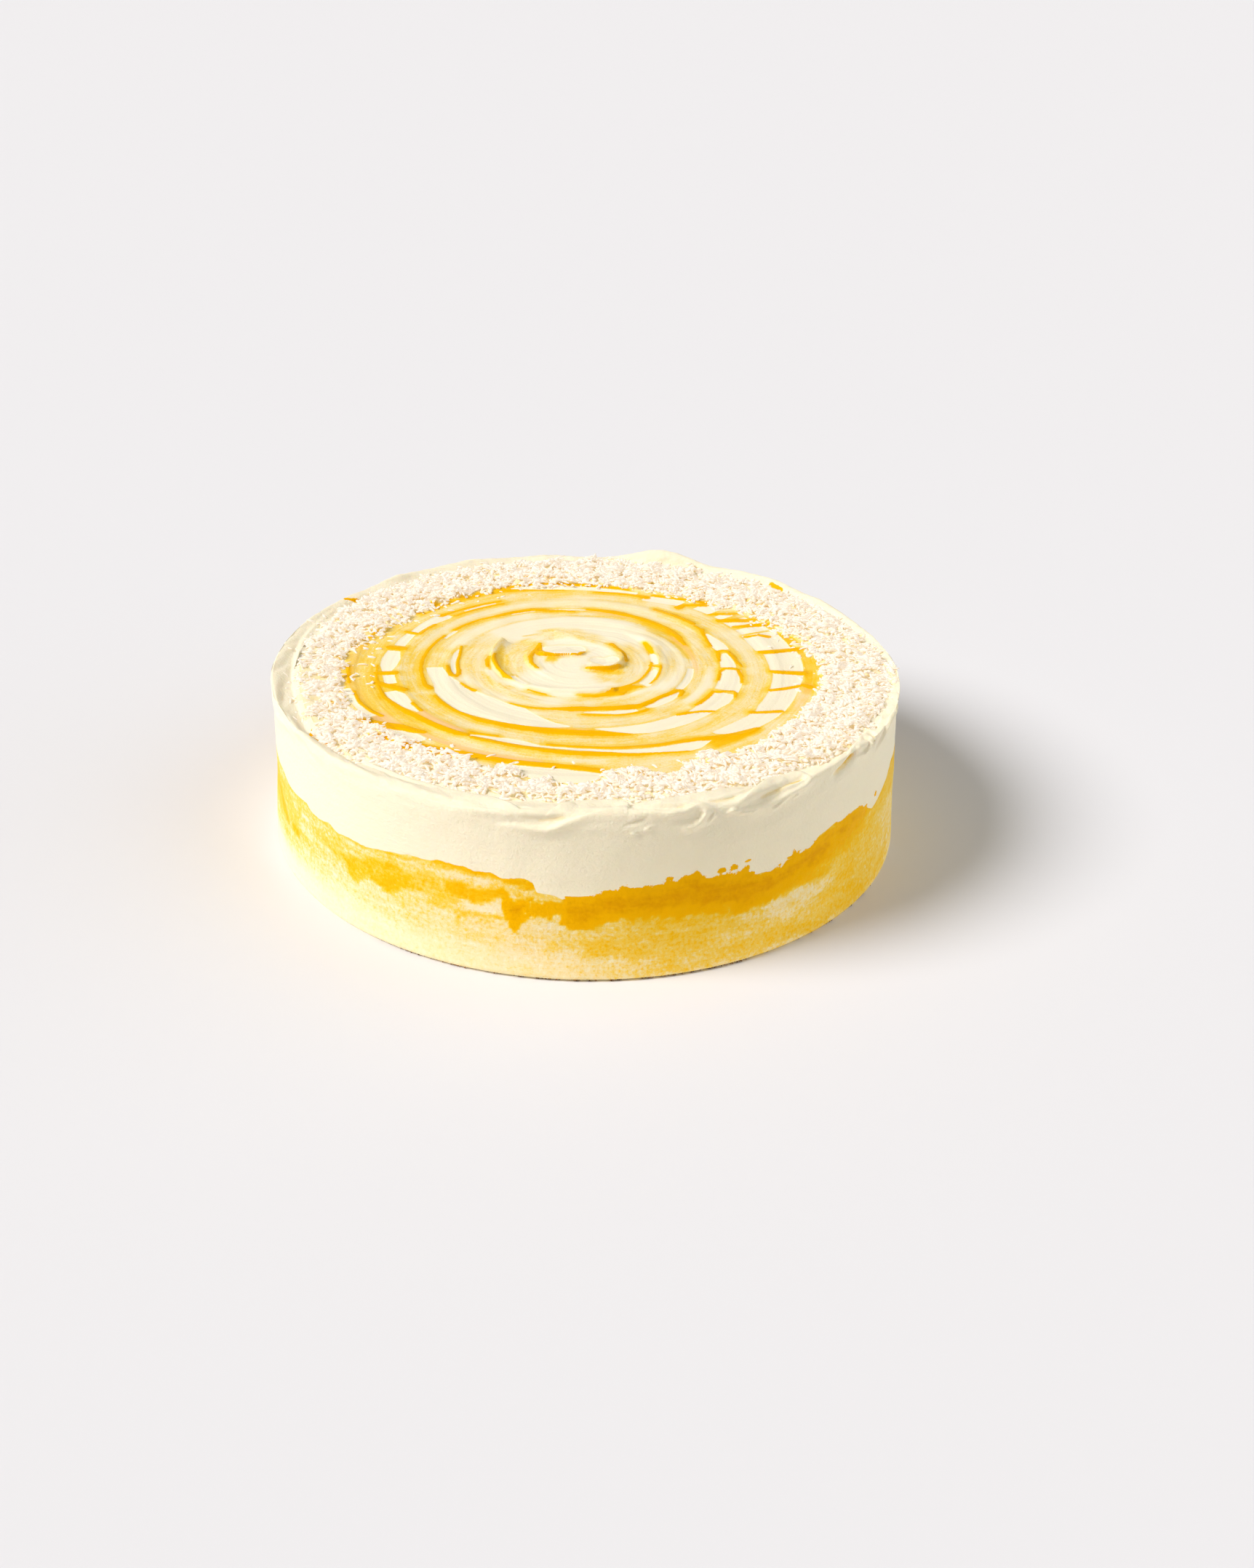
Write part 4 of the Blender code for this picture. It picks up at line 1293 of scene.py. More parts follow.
@dataclass
class SwirledTop:
    """The cream inside the rim, with its spatula swirl and the puree on it. Sizes in millimetres.

    A zone of rings is its outer and inner radius, the step, and the share of the points kept. The
    amount of puree under the coconut is that where it lies evenly, and what thinness adds; it is partly
    painted shade that warms the shaded gaps between the flakes, and so is the peach blush there.
    """

    outline: Outline
    view: Viewpoint
    pattern_level: float = 67.5
    edge_radius: float = 108.0
    fine_radius: float = 100.0
    underside: float = 64.5
    segments: int = 720
    base_amount: float = 0.27
    bare_sink: float = 0.25
    puree_rise: float = 0.25
    spread: float = 0.36
    curl_gain: float = 1.35
    groove_pitch: float = 1.6
    groove_turns: tuple[float, float] = (0.9, 0.7)
    groove_rise: float = 0.07
    groove_fade: float = 12.0
    swell_size: float = 9.0
    swell_rise: float = 0.12
    edge_rings: int = 5
    ring_zones: tuple[tuple[float, float, float, int], ...] = (
        (99.4, 55.2, 0.6, 1), (54.8, 14.0, 0.5, 2), (13.7, 5.2, 0.5, 4), (4.8, 0.4, 0.5, 8),
    )
    edge_drop: float = 0.8
    edge_flat: float = 2.0
    edge_fade: float = 6.0
    base_from: float = 38.0
    base_fade: float = 16.0
    sway: float = 0.06
    under_puree_and_shade: tuple[float, float] = (0.14, 0.6)
    under_painted_shade: float = 0.25

    def relief(self, x: np.ndarray, y: np.ndarray) -> np.ndarray:
        """Height of the cream's surface before the puree is laid on it."""
        bearing, radius = self.outline.swirl_polar(x, y)
        height = self.outline.top_height + self.outline.swirl(x, y)
        height = height + self.outline.mound_height * bell(radius, self.outline.mound_radius)
        for curl in CURLS:
            height = height + self.curl_gain * curl.rise(x, y)
        angle = np.radians(bearing)
        turn, lean = self.groove_turns
        grooves = ripple(radius / self.groove_pitch, turn * np.cos(angle) + lean * np.sin(angle), 3)
        swell = ripple(x / self.swell_size, y / self.swell_size, 5)
        height = height + self.groove_rise * grooves * smooth_step(radius / self.groove_fade)
        height = height + self.swell_rise * swell
        return height + self.outline.coconut_ground * self.outline.coconut(x, y)[0]

    def rings(self) -> list[tuple[float, int]]:
        """Radius and number of points of each ring, from the edge to the middle."""
        radii = np.linspace(self.edge_radius, self.fine_radius, self.edge_rings)
        rows = [(radius, self.segments) for radius in radii]
        for outer, inner, step, share in self.ring_zones:
            rows += [(radius, self.segments // share) for radius in np.arange(outer, inner, -step)]
        return rows

    def build(self) -> bpy.types.Object:
        """Make the piece with its relief and the numbers that its material reads."""
        grid = PolarGrid()
        turn = np.arange(self.segments) * 2.0 * math.pi / self.segments
        edge_x = self.outline.swirl_x + self.edge_radius * np.cos(turn)
        edge_y = self.outline.swirl_y + self.edge_radius * np.sin(turn)
        below = grid.ring(np.stack([edge_x, edge_y, np.full_like(turn, self.underside)], axis=1))
        for radius, count in self.rings():
            angle = np.arange(count) * 2.0 * math.pi / count
            x = self.outline.swirl_x + radius * np.cos(angle)
            y = self.outline.swirl_y + radius * np.sin(angle)
            drop = self.edge_drop * smooth_step((radius - self.fine_radius - self.edge_flat) / self.edge_fade)
            grid.ring(np.stack([x, y, self.relief(x, y) - drop], axis=1))
        middle = (self.outline.swirl_x, self.outline.swirl_y)
        top = float(self.relief(np.array([middle[0]]), np.array([middle[1]]))[0])
        grid.close(grid.last, (*middle, top), upwards=True)
        grid.close(below, (*middle, self.underside), upwards=False)
        points = np.concatenate(grid.points)
        marks = self.marks(points)
        lift = self.puree_rise * smooth_step(marks["thick"] / 0.8 + 0.3)
        sink = self.bare_sink * smooth_step(marks["bare"] / 0.9 + 0.3)
        points[:, 2] += np.where(points[:, 2] > self.underside + 0.5, lift - sink, 0.0)
        mesh = make_mesh("cream_top", points * MM, np.concatenate(grid.faces))
        for name, values in marks.items():
            store(mesh, name, values)
        return add_object("cream_top", mesh)

    def marks(self, points: np.ndarray) -> dict[str, np.ndarray]:
        """Amount of puree and depths inside bare cream and thick puree, at each point."""
        x, y = self.view.slide(points, self.pattern_level)
        bearing, radius = self.outline.swirl_polar(x, y)
        amount = self.base_amount * smooth_step((radius - self.base_from) / self.base_fade)
        for smear in TOP_STROKES:
            amount = np.maximum(amount, smear.level * smear.weight(x, y, self.outline))
        amount += self.sway * ripple(bearing / 14.0, radius / 4.0, 11) * smooth_step(amount / 0.15)
        for patch in TOP_SMEARS:
            amount = blended(amount, patch.level, patch.weight(bearing, radius, radius))
        # Painted shade, partly: under the coconut more puree and a peach blush warm the gaps between flakes
        under = smooth_step((self.outline.coconut(points[:, 0], points[:, 1])[1] - 0.25) / 0.5)
        even, thin = self.under_puree_and_shade
        amount = blended(amount, even + thin * self.outline.thinness(points[:, 0], points[:, 1]), under)
        bare = line_depth(x, y, TOP_BARES, self.outline)
        for strip in TOP_STRIPS:
            bare = np.maximum(bare, strip.depth(bearing, radius, radius))
        blush = np.zeros(x.shape)
        for patch in TOP_BLUSHES:
            blush = np.maximum(blush, patch.level * patch.weight(bearing, radius, radius))
        blush = np.maximum(blush, self.under_painted_shade * under)
        return {
            "amount": np.clip(amount, 0.0, 1.0),
            "bare": np.clip(bare, -REACH, REACH),
            "thick": line_depth(x, y, TOP_LINES, self.outline) + self.spread,
            "blush": blush,
        }

    def dress(self, item: bpy.types.Object, tint: bpy.types.NodeTree) -> None:
        """Give the piece its cream and fix it to the cake."""
        middle = (self.outline.swirl_x, self.outline.swirl_y)
        finish = Cream("swirled_cream", middle, streak_turns=5.0, streak_width=1.1, upright=False)
        item.data.materials.append(finish.material(tint))
        settle(item)


# --------------------------------------------------------------------------------------------------
# The wall and the rim
# --------------------------------------------------------------------------------------------------

# Height of the upper edge of the puree round the wall
BAND_TOP = (
    (5, 41), (20, 44), (35, 39), (50, 37), (65, 42), (80, 45), (95, 41), (110, 38), (125, 40), (140, 44),
    (155, 41), (170, 39), (183, 41), (195, 41.5), (201, 42), (206, 40.3), (210, 40.3), (214, 41.3),
    (216, 39.3), (219, 39.2), (221.3, 40), (224, 38.2), (227, 39.2), (231, 38.8), (234, 40.2), (238, 41.3),
    (240, 42.3), (243, 42.3), (246, 43.7), (250, 43.3), (252, 42.2), (254.5, 43), (257, 41.2), (260, 42.2),
    (261.6, 41), (262.4, 36.8), (265, 36.3), (266.5, 35), (268, 36.3), (270.5, 36.6), (272.4, 36.2),
    (273, 39), (276, 38), (278.6, 39.4), (280.5, 38), (283, 39.8), (285, 40.2), (287, 42), (288, 43),
    (289.5, 40), (291, 39.2), (293.5, 39), (295, 37.5), (297, 39.3), (299, 36), (301, 36.3), (303.7, 34.6),
    (305.5, 37.8), (308, 39), (310.5, 39.6), (313, 43), (315, 43.6), (317, 44.4), (318.5, 43.6),
    (321, 44.6), (324, 44.6), (327, 42), (328.5, 39.5), (330, 38.3), (332, 38.8), (335, 41), (338, 42.5),
    (340, 45), (342, 47), (350, 46),
)

# Where the puree on the wall is thick: bearing, lower and upper edge
BAND_THICK = tuple(Strip(stations) for stations in (
    ((256.4, 33, 35.4), (257.4, 25, 35), (258.8, 20.6, 34.6), (260.2, 25, 34.4), (261.6, 27.8, 34)),
    ((261, 28.2, 33.4), (263.2, 27.8, 33), (266.2, 27, 33.6), (267.6, 23, 36.6), (270.5, 22.6, 37.2),
     (273, 25.4, 38.4), (275.5, 26.3, 40), (280, 26, 40), (286, 25.3, 42), (288, 25.5, 44), (291, 25, 40),
     (297, 22.5, 40), (300, 22, 37), (303.5, 25, 36), (308, 28, 40), (312, 29, 43), (317.2, 31, 44.5)),
    ((317, 33, 44.5), (320, 34, 45), (324, 36.5, 45), (327.5, 39, 43)),
    ((15, 37, 38), (21, 31, 44), (27, 27.5, 42), (33, 28.5, 40), (40, 26.5, 38), (47, 25, 37), (54, 27, 38),
     (60, 30, 41), (66, 36, 43), (71, 40, 41)),
    ((72, 34, 35), (77, 27, 43), (84, 24, 46), (92, 30, 43), (100, 33, 41), (107, 37, 38)),
    ((114, 29, 30), (120, 23, 34), (131, 20, 38), (140, 26, 44), (150, 29, 44), (157, 34, 40),
     (162, 37, 38)),
    ((161, 29, 30), (166, 24, 34), (172, 22, 36), (180, 25, 35), (186, 28, 32), (190, 30, 31)),
))

# Where puree lies in a thinner, grainy layer: amount, and bearing with lower and upper edge
BAND_LAYERS = tuple((level, Strip(stations)) for level, stations in (
    (0.85, ((195.5, 30, 33), (199, 26, 31), (203.5, 22, 26), (205, 21.5, 23))),
    (0.8, ((206.8, 21, 24), (208.4, 20.4, 25), (210, 21, 23.5))),
    (0.6, ((209, 33.8, 34.8), (218, 31.2, 32.6), (226, 29.4, 31))),
    (0.7, ((225.6, 25, 30), (227, 22.4, 31), (229.2, 21, 31.6), (230.8, 24, 32))),
    (0.74, ((230.8, 28, 34), (232.8, 25.6, 35), (235, 23.4, 35.8), (237, 25, 36.4), (240.6, 28.5, 35.4))),
    (0.6, ((240.4, 29, 35), (244, 30, 35.6), (247.2, 30, 36))),
    (0.5, ((243.6, 27, 28.6), (246, 26.8, 29.6), (248.6, 28, 30))),
    (0.9, ((246.8, 31.6, 36), (250, 30, 37.2), (252, 29.4, 36.8), (255, 32, 35.4))),
    (0.62, ((248.8, 22, 24), (250.8, 22, 24.6))),
    (0.9, ((254.4, 33.4, 36.2), (257.4, 32.2, 35.2))),
    (0.55, ((214, 40, 41.4), (222, 38.4, 40), (230, 38, 39.6), (238, 40, 41.6), (246, 41.6, 44))),
    (0.98, ((244, 43, 44.4), (250.5, 41.8, 44.4), (254.2, 40.8, 43.4), (257.8, 40, 42.6), (262, 38, 41))),
    (0.5, ((252, 25, 26), (256, 24.4, 25.8), (259, 24, 25.4))),
))

# Drops and dabs over the band: bearing, height and half width
BAND_LINES = drawn(Chart.WALL,
    ((292.4, 42, 1.1), (293, 42, 1.2)),
    ((294.7, 42.3, 1.1), (295.3, 42.2, 1)),
    ((297, 42.8, 0.9), (297.8, 43, 0.9)),
    ((297.6, 40.6, 1), (297, 39.4, 1)),
    ((306.9, 41.3, 0.7), (307.2, 40.4, 0.6)),
    ((331.2, 43.2, 0.7), (331.5, 43.1, 0.8)),
)

# Amount of puree in the cream near the foot of the wall, and half way up to the band
FOOT_TINT = (
    (5, 0.3), (60, 0.25), (120, 0.3), (180, 0.06), (200, 0.01), (215, 0.06), (240, 0.12), (258, 0.16),
    (270, 0.23), (283, 0.44), (300, 0.42), (318, 0.56), (335, 0.52), (345, 0.4),
)
MIDDLE_TINT = (
    (5, 0.3), (60, 0.38), (120, 0.34), (180, 0.3), (196, 0.36), (203, 0.38), (213, 0.28), (225, 0.22),
    (243, 0.26), (261, 0.26), (270, 0.36), (281, 0.5), (292, 0.52), (301, 0.36), (310, 0.3), (319, 0.5),
    (329, 0.54), (337, 0.38), (345, 0.36),
)

# Where there is more or less of it: bearing from, to, height from, to, amount, fade
BAND_SMEARS = tuple(Patch(*area) for area in (
    (186, 228, 22, 42, 0.36, 5), (176, 204, 22, 37, 0.62, 6), (200, 214, 22, 36, 0.46, 5),
    (214, 230, 27, 34, 0.44, 3), (211, 222, 26.5, 29.5, 0.24, 2.5), (219, 226, 25.5, 28.5, 0.27, 2.5),
    (208.5, 214.5, 33.3, 35.6, 0.02, 1), (224.5, 225.5, 33.2, 34.3, 0.02, 0.8), (226, 256, 24, 38, 0.4, 3),
    (250, 257, 26, 31, 0.12, 2), (226, 262, 36.5, 41, 0.32, 2), (252.5, 254.5, 38, 39.5, 0.1, 1),
    (262, 266.5, 33.8, 37, 0.3, 1.5), (247, 251, 38, 40.5, 0.16, 1.5), (262, 270, 22, 26, 0.2, 3),
    (270, 290, 11, 19, 0.55, 4), (281, 286, 13, 18, 0.66, 3), (288, 291, 13, 15, 0.62, 2),
    (280, 298, 22, 26, 0.62, 3), (302, 310, 16, 24, 0.25, 5), (303, 305, 9.5, 12, 0.52, 2),
    (295, 330, 4, 9, 0.6, 4), (303, 316, 24, 38, 0.9, 3), (310, 326, 27, 31, 0.7, 4),
    (318, 326, 14, 20, 0.62, 4), (316, 328, 31, 43, 0.8, 2.5), (332, 336, 20, 26, 0.55, 3),
    (330, 356, 33, 50, 0.62, 7), (8, 180, 26, 50, 0.5, 8), (26, 48, 12, 20, 0.58, 6),
    (72, 92, 10, 18, 0.5, 6), (122, 150, 12, 20, 0.58, 6),
))


@dataclass(frozen=True)
class Grooves:
    """Fine waves in the cream: their rise, how many go with the bearing, and their pitch across it.

    They lean by one wave over the given distance across. Sizes in millimetres.
    """

    rise: float
    turns: float
    pitch: float
    lean: float
    seed: int

    def wave(self, bearing: np.ndarray, across: np.ndarray) -> np.ndarray:
        """Height of the waves, about 1 at the most."""
        angle = np.radians(bearing)
        first = self.turns * np.cos(angle) + across / self.lean
        return ripple(first, self.turns * np.sin(angle) + across / self.pitch, self.seed)


@dataclass
class WallAndRim:
    """The cream round the cake: the wall with its band of puree, and the rim. Sizes in millimetres.

    The amount of puree under the coconut is that where it lies evenly, and what thinness adds; it is
    partly painted shade that warms the shaded gaps between the flakes. The band's edge is rough at the
    front and rougher behind, over the back's bearing, width and fade.
    A torn or rough edge has two sizes of waves: pitch round the wall and up it.
    """

    outline: Outline
    floor_radius: float = 104.0
    floor_height: float = 66.6
    well_radius: float = 99.0
    well_height: float = 64.0
    wall_step: float = 1.5
    shoulder_step: float = 0.7
    fine_height: float = 50.0
    fold_gain: float = 1.25
    fold_width: float = 1.2
    band_level: float = 0.97
    band_soft: float = 2.6
    band_inset: float = 0.9
    band_torn: float = 1.1
    back_edge: float = 0.7
    layer_soft: float = 2.0
    drift: float = 0.7
    drop_edge: float = 3.0
    rim_steps: int = 24
    inner_steps: int = 18
    segments: int = 1000
    front_weight: float = 20.0
    wall_start: float = 1.2
    shoulder_gap: float = 0.3
    ledge_steps: tuple[float, ...] = (0.15, 0.3, 0.45, 0.6, 0.8, 1.0)
    ledge_sink: float = 0.5
    slope_cover: float = 0.6
    rim_width: float = 9.0
    rim_coarse: Grooves = Grooves(0.32, 8.0, 2.4, 9.0, 61)
    rim_fine: Grooves = Grooves(0.12, 30.0, 2.0, math.inf, 62)
    wall_grooves: Grooves = Grooves(0.1, 16.0, 5.0, 30.0, 63)
    wall_from: float = 8.0
    calm: float = 6.0
    clearance: float = 0.05
    under_puree_and_shade: tuple[float, float] = (0.04, 0.25)
    under_least: float = 0.03
    tint_from: float = 7.0
    tint_over: float = 11.0
    foot_pale: float = 0.4
    foot_fade: float = 5.0
    drift_pitch: tuple[float, float] = (8.0, 6.0)
    back: Station = (90.0, 100.0, 20.0)
    front_edge: float = 0.15
    rough_pitches: tuple[tuple[float, float], ...] = ((7.0, 30.0), (2.4, 20.0))
    torn_pitches: tuple[tuple[float, float], ...] = ((3.6, 3.0), (1.5, 1.5))
    fine_share: float = 0.6
    # Painted shade in the rim's creases: how far a fold sinks before and over which it shows, its least share
    # and its amount
    crease_shade_from: float = 0.5
    crease_shade_over: float = 1.8
    crease_shade_least: float = 0.02
    crease_shade_amount: float = 0.35

    def bearings(self) -> np.ndarray:
        """Bearings of the grid, closer together at the front."""
        even = np.linspace(0.0, 360.0, self.segments, endpoint=False)
        return (even - self.front_weight * (1.0 + np.cos(np.radians(even)))) % 360.0

    def rows(self, bearing: np.ndarray) -> tuple[np.ndarray, np.ndarray, np.ndarray]:
        """Sections from the foot, over the rim and down to the well under the swirled top.

        Args:
            bearing: Bearings of the grid.

        Returns:
            Radius, height and distance across from the crest, each a row for every ring.
        """
        outline = self.outline
        whole = np.ones_like(bearing)
        rows = [((outline.base_radius - outline.foot_round) * whole, 0.0 * whole)]
        last = outline.shoulder_height - self.shoulder_gap
        lower = np.arange(self.wall_start, self.fine_height, self.wall_step)
        for height in np.append(lower, np.arange(self.fine_height, last, self.shoulder_step)):
            rows.append((outline.wall(bearing, height), height * whole))
        shoulder = outline.wall(bearing, outline.shoulder_height)
        edge, top = outline.crest(bearing)
        for step in np.linspace(0.0, 90.0, self.rim_steps):
            out = max(math.cos(math.radians(step)), 0.0) ** outline.rim_squareness
            rise = math.sin(math.radians(step)) ** outline.rim_squareness
            rows.append((blended(edge, shoulder, out), blended(outline.shoulder_height, top, rise)))
        crest_row = len(rows) - 1
        foot = np.minimum(round_the_cake(outline.coconut_outer, bearing), edge - outline.rim_slope)
        for step in np.linspace(0.0, 1.0, self.inner_steps + 1)[1:]:
            rows.append((blended(edge, foot, step), blended(top, self.floor_height, smooth_step(step))))
        angle = np.radians(bearing)
        for step in self.ledge_steps:
            inner = blended(foot, self.floor_radius, step)
            laid = outline.coconut(inner * np.cos(angle), inner * np.sin(angle))[0]
            kept = 1.0 - self.ledge_sink * step
            rows.append((inner, self.floor_height + outline.coconut_ground * laid * kept))
        rows.append((self.well_radius * whole, self.well_height * whole))
        radius = np.array([row[0] for row in rows])
        height = np.array([row[1] for row in rows])
        steps = np.hypot(np.diff(radius, axis=0), np.diff(height, axis=0))
        travelled = np.vstack([np.zeros_like(bearing), np.cumsum(steps, axis=0)])
        return radius, height, travelled[crest_row] - travelled

    def inner_height(self, x: np.ndarray, y: np.ndarray, ground: np.ndarray) -> np.ndarray:
        """Height of the rim's inner slope, or of the ground where that is higher."""
        bearing = np.degrees(np.arctan2(y, x)) % 360.0
        edge, top = self.outline.crest(bearing)
        foot = np.minimum(round_the_cake(self.outline.coconut_outer, bearing), edge - self.outline.rim_slope)
        share = np.clip((edge - np.hypot(x, y)) / (edge - foot), 0.0, 1.0)
        slope = blended(top, self.floor_height, smooth_step(share))
        covered = np.maximum(slope, np.minimum(ground, slope + self.slope_cover))
        return np.where(share < 1.0, covered, ground)

    def relief(self, bearing: np.ndarray, across: np.ndarray) -> np.ndarray:
        """Rise of folds, tears and spatula marks above the plain section."""
        length = np.radians(bearing) * RIM_ARC
        rise = np.zeros(bearing.shape)
        for fold in FOLDS:
            raised = fold.rise(length.ravel(), across.ravel(), self.fold_width)
            rise += self.fold_gain * raised.reshape(rise.shape)
        on_rim = bell(across, self.rim_width)
        on_wall = smooth_step((across - self.wall_from) / self.calm)
        rise += self.rim_coarse.rise * on_rim * self.rim_coarse.wave(bearing, across)
        rise += self.rim_fine.rise * self.rim_fine.wave(bearing, across) * on_rim
        rise += self.wall_grooves.rise * on_wall * self.wall_grooves.wave(bearing, across)
        return rise

    def build(self) -> bpy.types.Object:
        """Make the piece with its relief and the numbers that its material reads."""
        bearing = self.bearings()
        radius, height, across = self.rows(bearing)
        around = np.broadcast_to(bearing, radius.shape)
        flow_r, flow_z = np.gradient(radius, axis=0), np.gradient(height, axis=0)
        flow = np.hypot(flow_r, flow_z)
        x, y = radius * np.cos(np.radians(around)), radius * np.sin(np.radians(around))
        # Puree under the coconut, partly painted shade that warms the gaps between the flakes
        even, thin = self.under_puree_and_shade
        under = self.outline.coconut(x, y)[1] * (even + thin * self.outline.thinness(x, y)) * (across < 0.0)
        rise = self.relief(around, across)
        rise *= smooth_step(height / self.calm) * smooth_step((radius - self.floor_radius) / self.calm)
        plain_height = height
        radius, height = radius + rise * flow_z / flow, height - rise * flow_r / flow
        radius = np.minimum(radius, self.outline.base_radius - self.clearance)
        height = np.minimum(height, HIGHEST)
        grid = PolarGrid()
        rings = []
        angle = np.radians(bearing)
        for out, up in zip(radius, height):
            rings.append(grid.ring(np.stack([out * np.cos(angle), out * np.sin(angle), up], axis=1)))
        grid.close(rings[0], (0.0, 0.0, 0.0), upwards=False)
        grid.close(rings[-1], (0.0, 0.0, self.well_height), upwards=True)
        mesh = grid.mesh("cream_wall")
        for name, values in self.marks(around, plain_height, across, rise, under).items():
            store(mesh, name, np.append(values.ravel(), [0.0, 0.0]))
        return add_object("cream_wall", mesh)

    def uneven(self, length: np.ndarray, height: np.ndarray, pitches: Sequence[tuple[float, float]],
               seed: int) -> np.ndarray:
        """Coarse and fine waves of a torn edge, by length round the wall and height."""
        coarse, fine = (ripple(length / pitch, height / rise, seed + number)
                        for number, (pitch, rise) in enumerate(pitches))
        return coarse + self.fine_share * fine

    def marks(self, bearing: np.ndarray, height: np.ndarray, across: np.ndarray, rise: np.ndarray,
              under: np.ndarray) -> dict[str, np.ndarray]:
        """Amount of puree and depths inside bare cream and thick puree, at each point.

        Args:
            bearing: Bearings of the points.
            height: Their heights on the plain section.
            across: Their distances across from the crest.
            rise: Rise of the folds there.
            under: Amount of puree under the coconut, partly painted shade in the gaps between flakes.

        Returns:
            The numbers by name.
        """
        arc = np.full_like(height, self.outline.base_radius)
        foot, middle = round_the_cake(FOOT_TINT, bearing), round_the_cake(MIDDLE_TINT, bearing)
        amount = blended(foot, middle, smooth_step((height - self.tint_from) / self.tint_over))
        amount *= (1.0 - self.foot_pale) + self.foot_pale * smooth_step(height / self.foot_fade)
        length = np.radians(bearing) * self.outline.base_radius
        drift_round, drift_up = self.drift_pitch
        astray = self.drift * ripple(length / drift_round, height / drift_up, 73)
        aloft = self.drift * ripple(length / drift_round, height / drift_up, 74)
        moved, raised = bearing + np.degrees(astray / self.outline.base_radius), height + aloft
        for patch in BAND_SMEARS:
            amount = blended(amount, patch.level, patch.weight(moved, raised, arc))
        for level, strip in BAND_LAYERS:
            inside = smooth_step(strip.depth(moved, raised, arc) / self.layer_soft + 0.5)
            amount = blended(amount, level, inside)
        centre, width, fade = self.back
        behind = smooth_step((width - np.abs(turned(bearing, centre))) / fade)
        rough = self.uneven(length, height, self.rough_pitches, 75)
        edge = (self.front_edge + self.back_edge * behind) * rough
        bare = height - round_the_cake(BAND_TOP, bearing) + edge
        thick = np.full_like(height, -REACH)
        for strip in BAND_THICK:
            thick = np.maximum(thick, strip.depth(bearing, height, arc))
        thick += self.band_torn * self.uneven(length, height, self.torn_pitches, 71)
        amount = np.maximum(amount, self.band_level * smooth_step(thick / self.band_soft + 0.55))
        thick = np.minimum(thick, self.band_soft - bare) - self.band_inset
        drops = line_depth(length.ravel(), height.ravel(), BAND_LINES, self.outline)
        streaks = line_depth(length.ravel(), across.ravel(), RIM_LINES, self.outline)
        drawn = self.drop_edge * np.maximum(drops, streaks).reshape(thick.shape)
        # Painted shade: where the rim's folds sink, the cream is tinted a little puree yellow as the shade in
        # its creases
        groove = smooth_step((-rise - self.crease_shade_from) / self.crease_shade_over) * bell(across, self.rim_width)
        for layer, least in ((self.crease_shade_amount * groove, self.crease_shade_amount * self.crease_shade_least),
                             (under, self.under_least)):
            bare = np.where(layer > least, -1.0, bare)
            amount = np.where(layer > least, layer, amount)
        return {
            "amount": np.clip(amount, 0.0, 1.0),
            "bare": np.clip(bare, -REACH, REACH),
            "thick": np.clip(np.maximum(thick, drawn), -REACH, REACH),
            "blush": np.zeros_like(height),
        }

    def dress(self, item: bpy.types.Object, tint: bpy.types.NodeTree) -> None:
        """Give the piece its cream and fix it to the cake."""
        finish = Cream("wall_cream", (0.0, 0.0), streak_turns=9.0, streak_width=2.0, upright=True,
                       sways=(0.6, 1.0, 0.5), fibre_scale=700.0, ragged_thick=(4.0, 4.5, 4.5),
                       shine=0.02, grain=0.0009, softness=0.22, soft_radius=(2.8, 1.9, 1.0))
        item.data.materials.append(finish.material(tint))
        settle(item)


# --------------------------------------------------------------------------------------------------
# The coconut
# --------------------------------------------------------------------------------------------------


# Where the sections of a short flake lie along it
SHORT = (-0.5, 0.0, 0.5)


@dataclass(frozen=True)
class Flake:
    """One cut piece of coconut: a bent sliver that is thinner at its ends. Sizes in millimetres.

    Its corners lie unevenly round each section and, by a share of the width, along it.
    """

    length: float
    width: float
    thickness: float
    bend: float
    taper: float
    sides: int = 5
    shares: tuple[float, ...] = (-0.5, -0.18, 0.16, 0.5)
    uneven_round: float = 0.35
    uneven_along: float = 0.2

    def mesh(self, name: str) -> bpy.types.Mesh:
        """Make the sliver about its own middle, of uneven many-sided sections."""
        points = []
        for number, share in enumerate(self.shares):
            full = 1.0 - self.taper * (2.0 * abs(share)) ** 2
            rise = self.bend * (0.25 - share * share)
            for corner in range(self.sides):
                turned_by = corner + self.uneven_round * math.sin(2.3 * number + corner)
                angle = 2.0 * math.pi * turned_by / self.sides
                shifted = self.uneven_along * self.width * math.sin(3.1 * corner + number)
                points.append((share * self.length + shifted,
                               0.5 * self.width * full * math.cos(angle),
                               rise + 0.5 * self.thickness * full * math.sin(angle)))
        faces = []
        last = self.sides * (len(self.shares) - 1)
        for first in range(0, last, self.sides):
            for corner in range(self.sides):
                after = (corner + 1) % self.sides
                above = first + self.sides
                faces.append((first + corner, first + after, above + after, above + corner))
        faces.append(tuple(range(self.sides - 1, -1, -1)))
        faces.append(tuple(range(last, last + self.sides)))
        mesh = bpy.data.meshes.new(name)
        mesh.from_pydata([tuple(value * MM for value in point) for point in points], [], faces)
        mesh.update()
        mesh.shade_smooth()
        return mesh


@dataclass(frozen=True)
class Scatter:
    """One kind of crumb or flake and how it is strewn.

    The flakes lie tilted by up to the given angle in radians and sunk by up to the depth.
    """

    name: str
    flakes: tuple[Flake, ...]
    each_square_mm: float
    smallest: float
    largest: float
    tilt: float
    depth: float
    seed: int


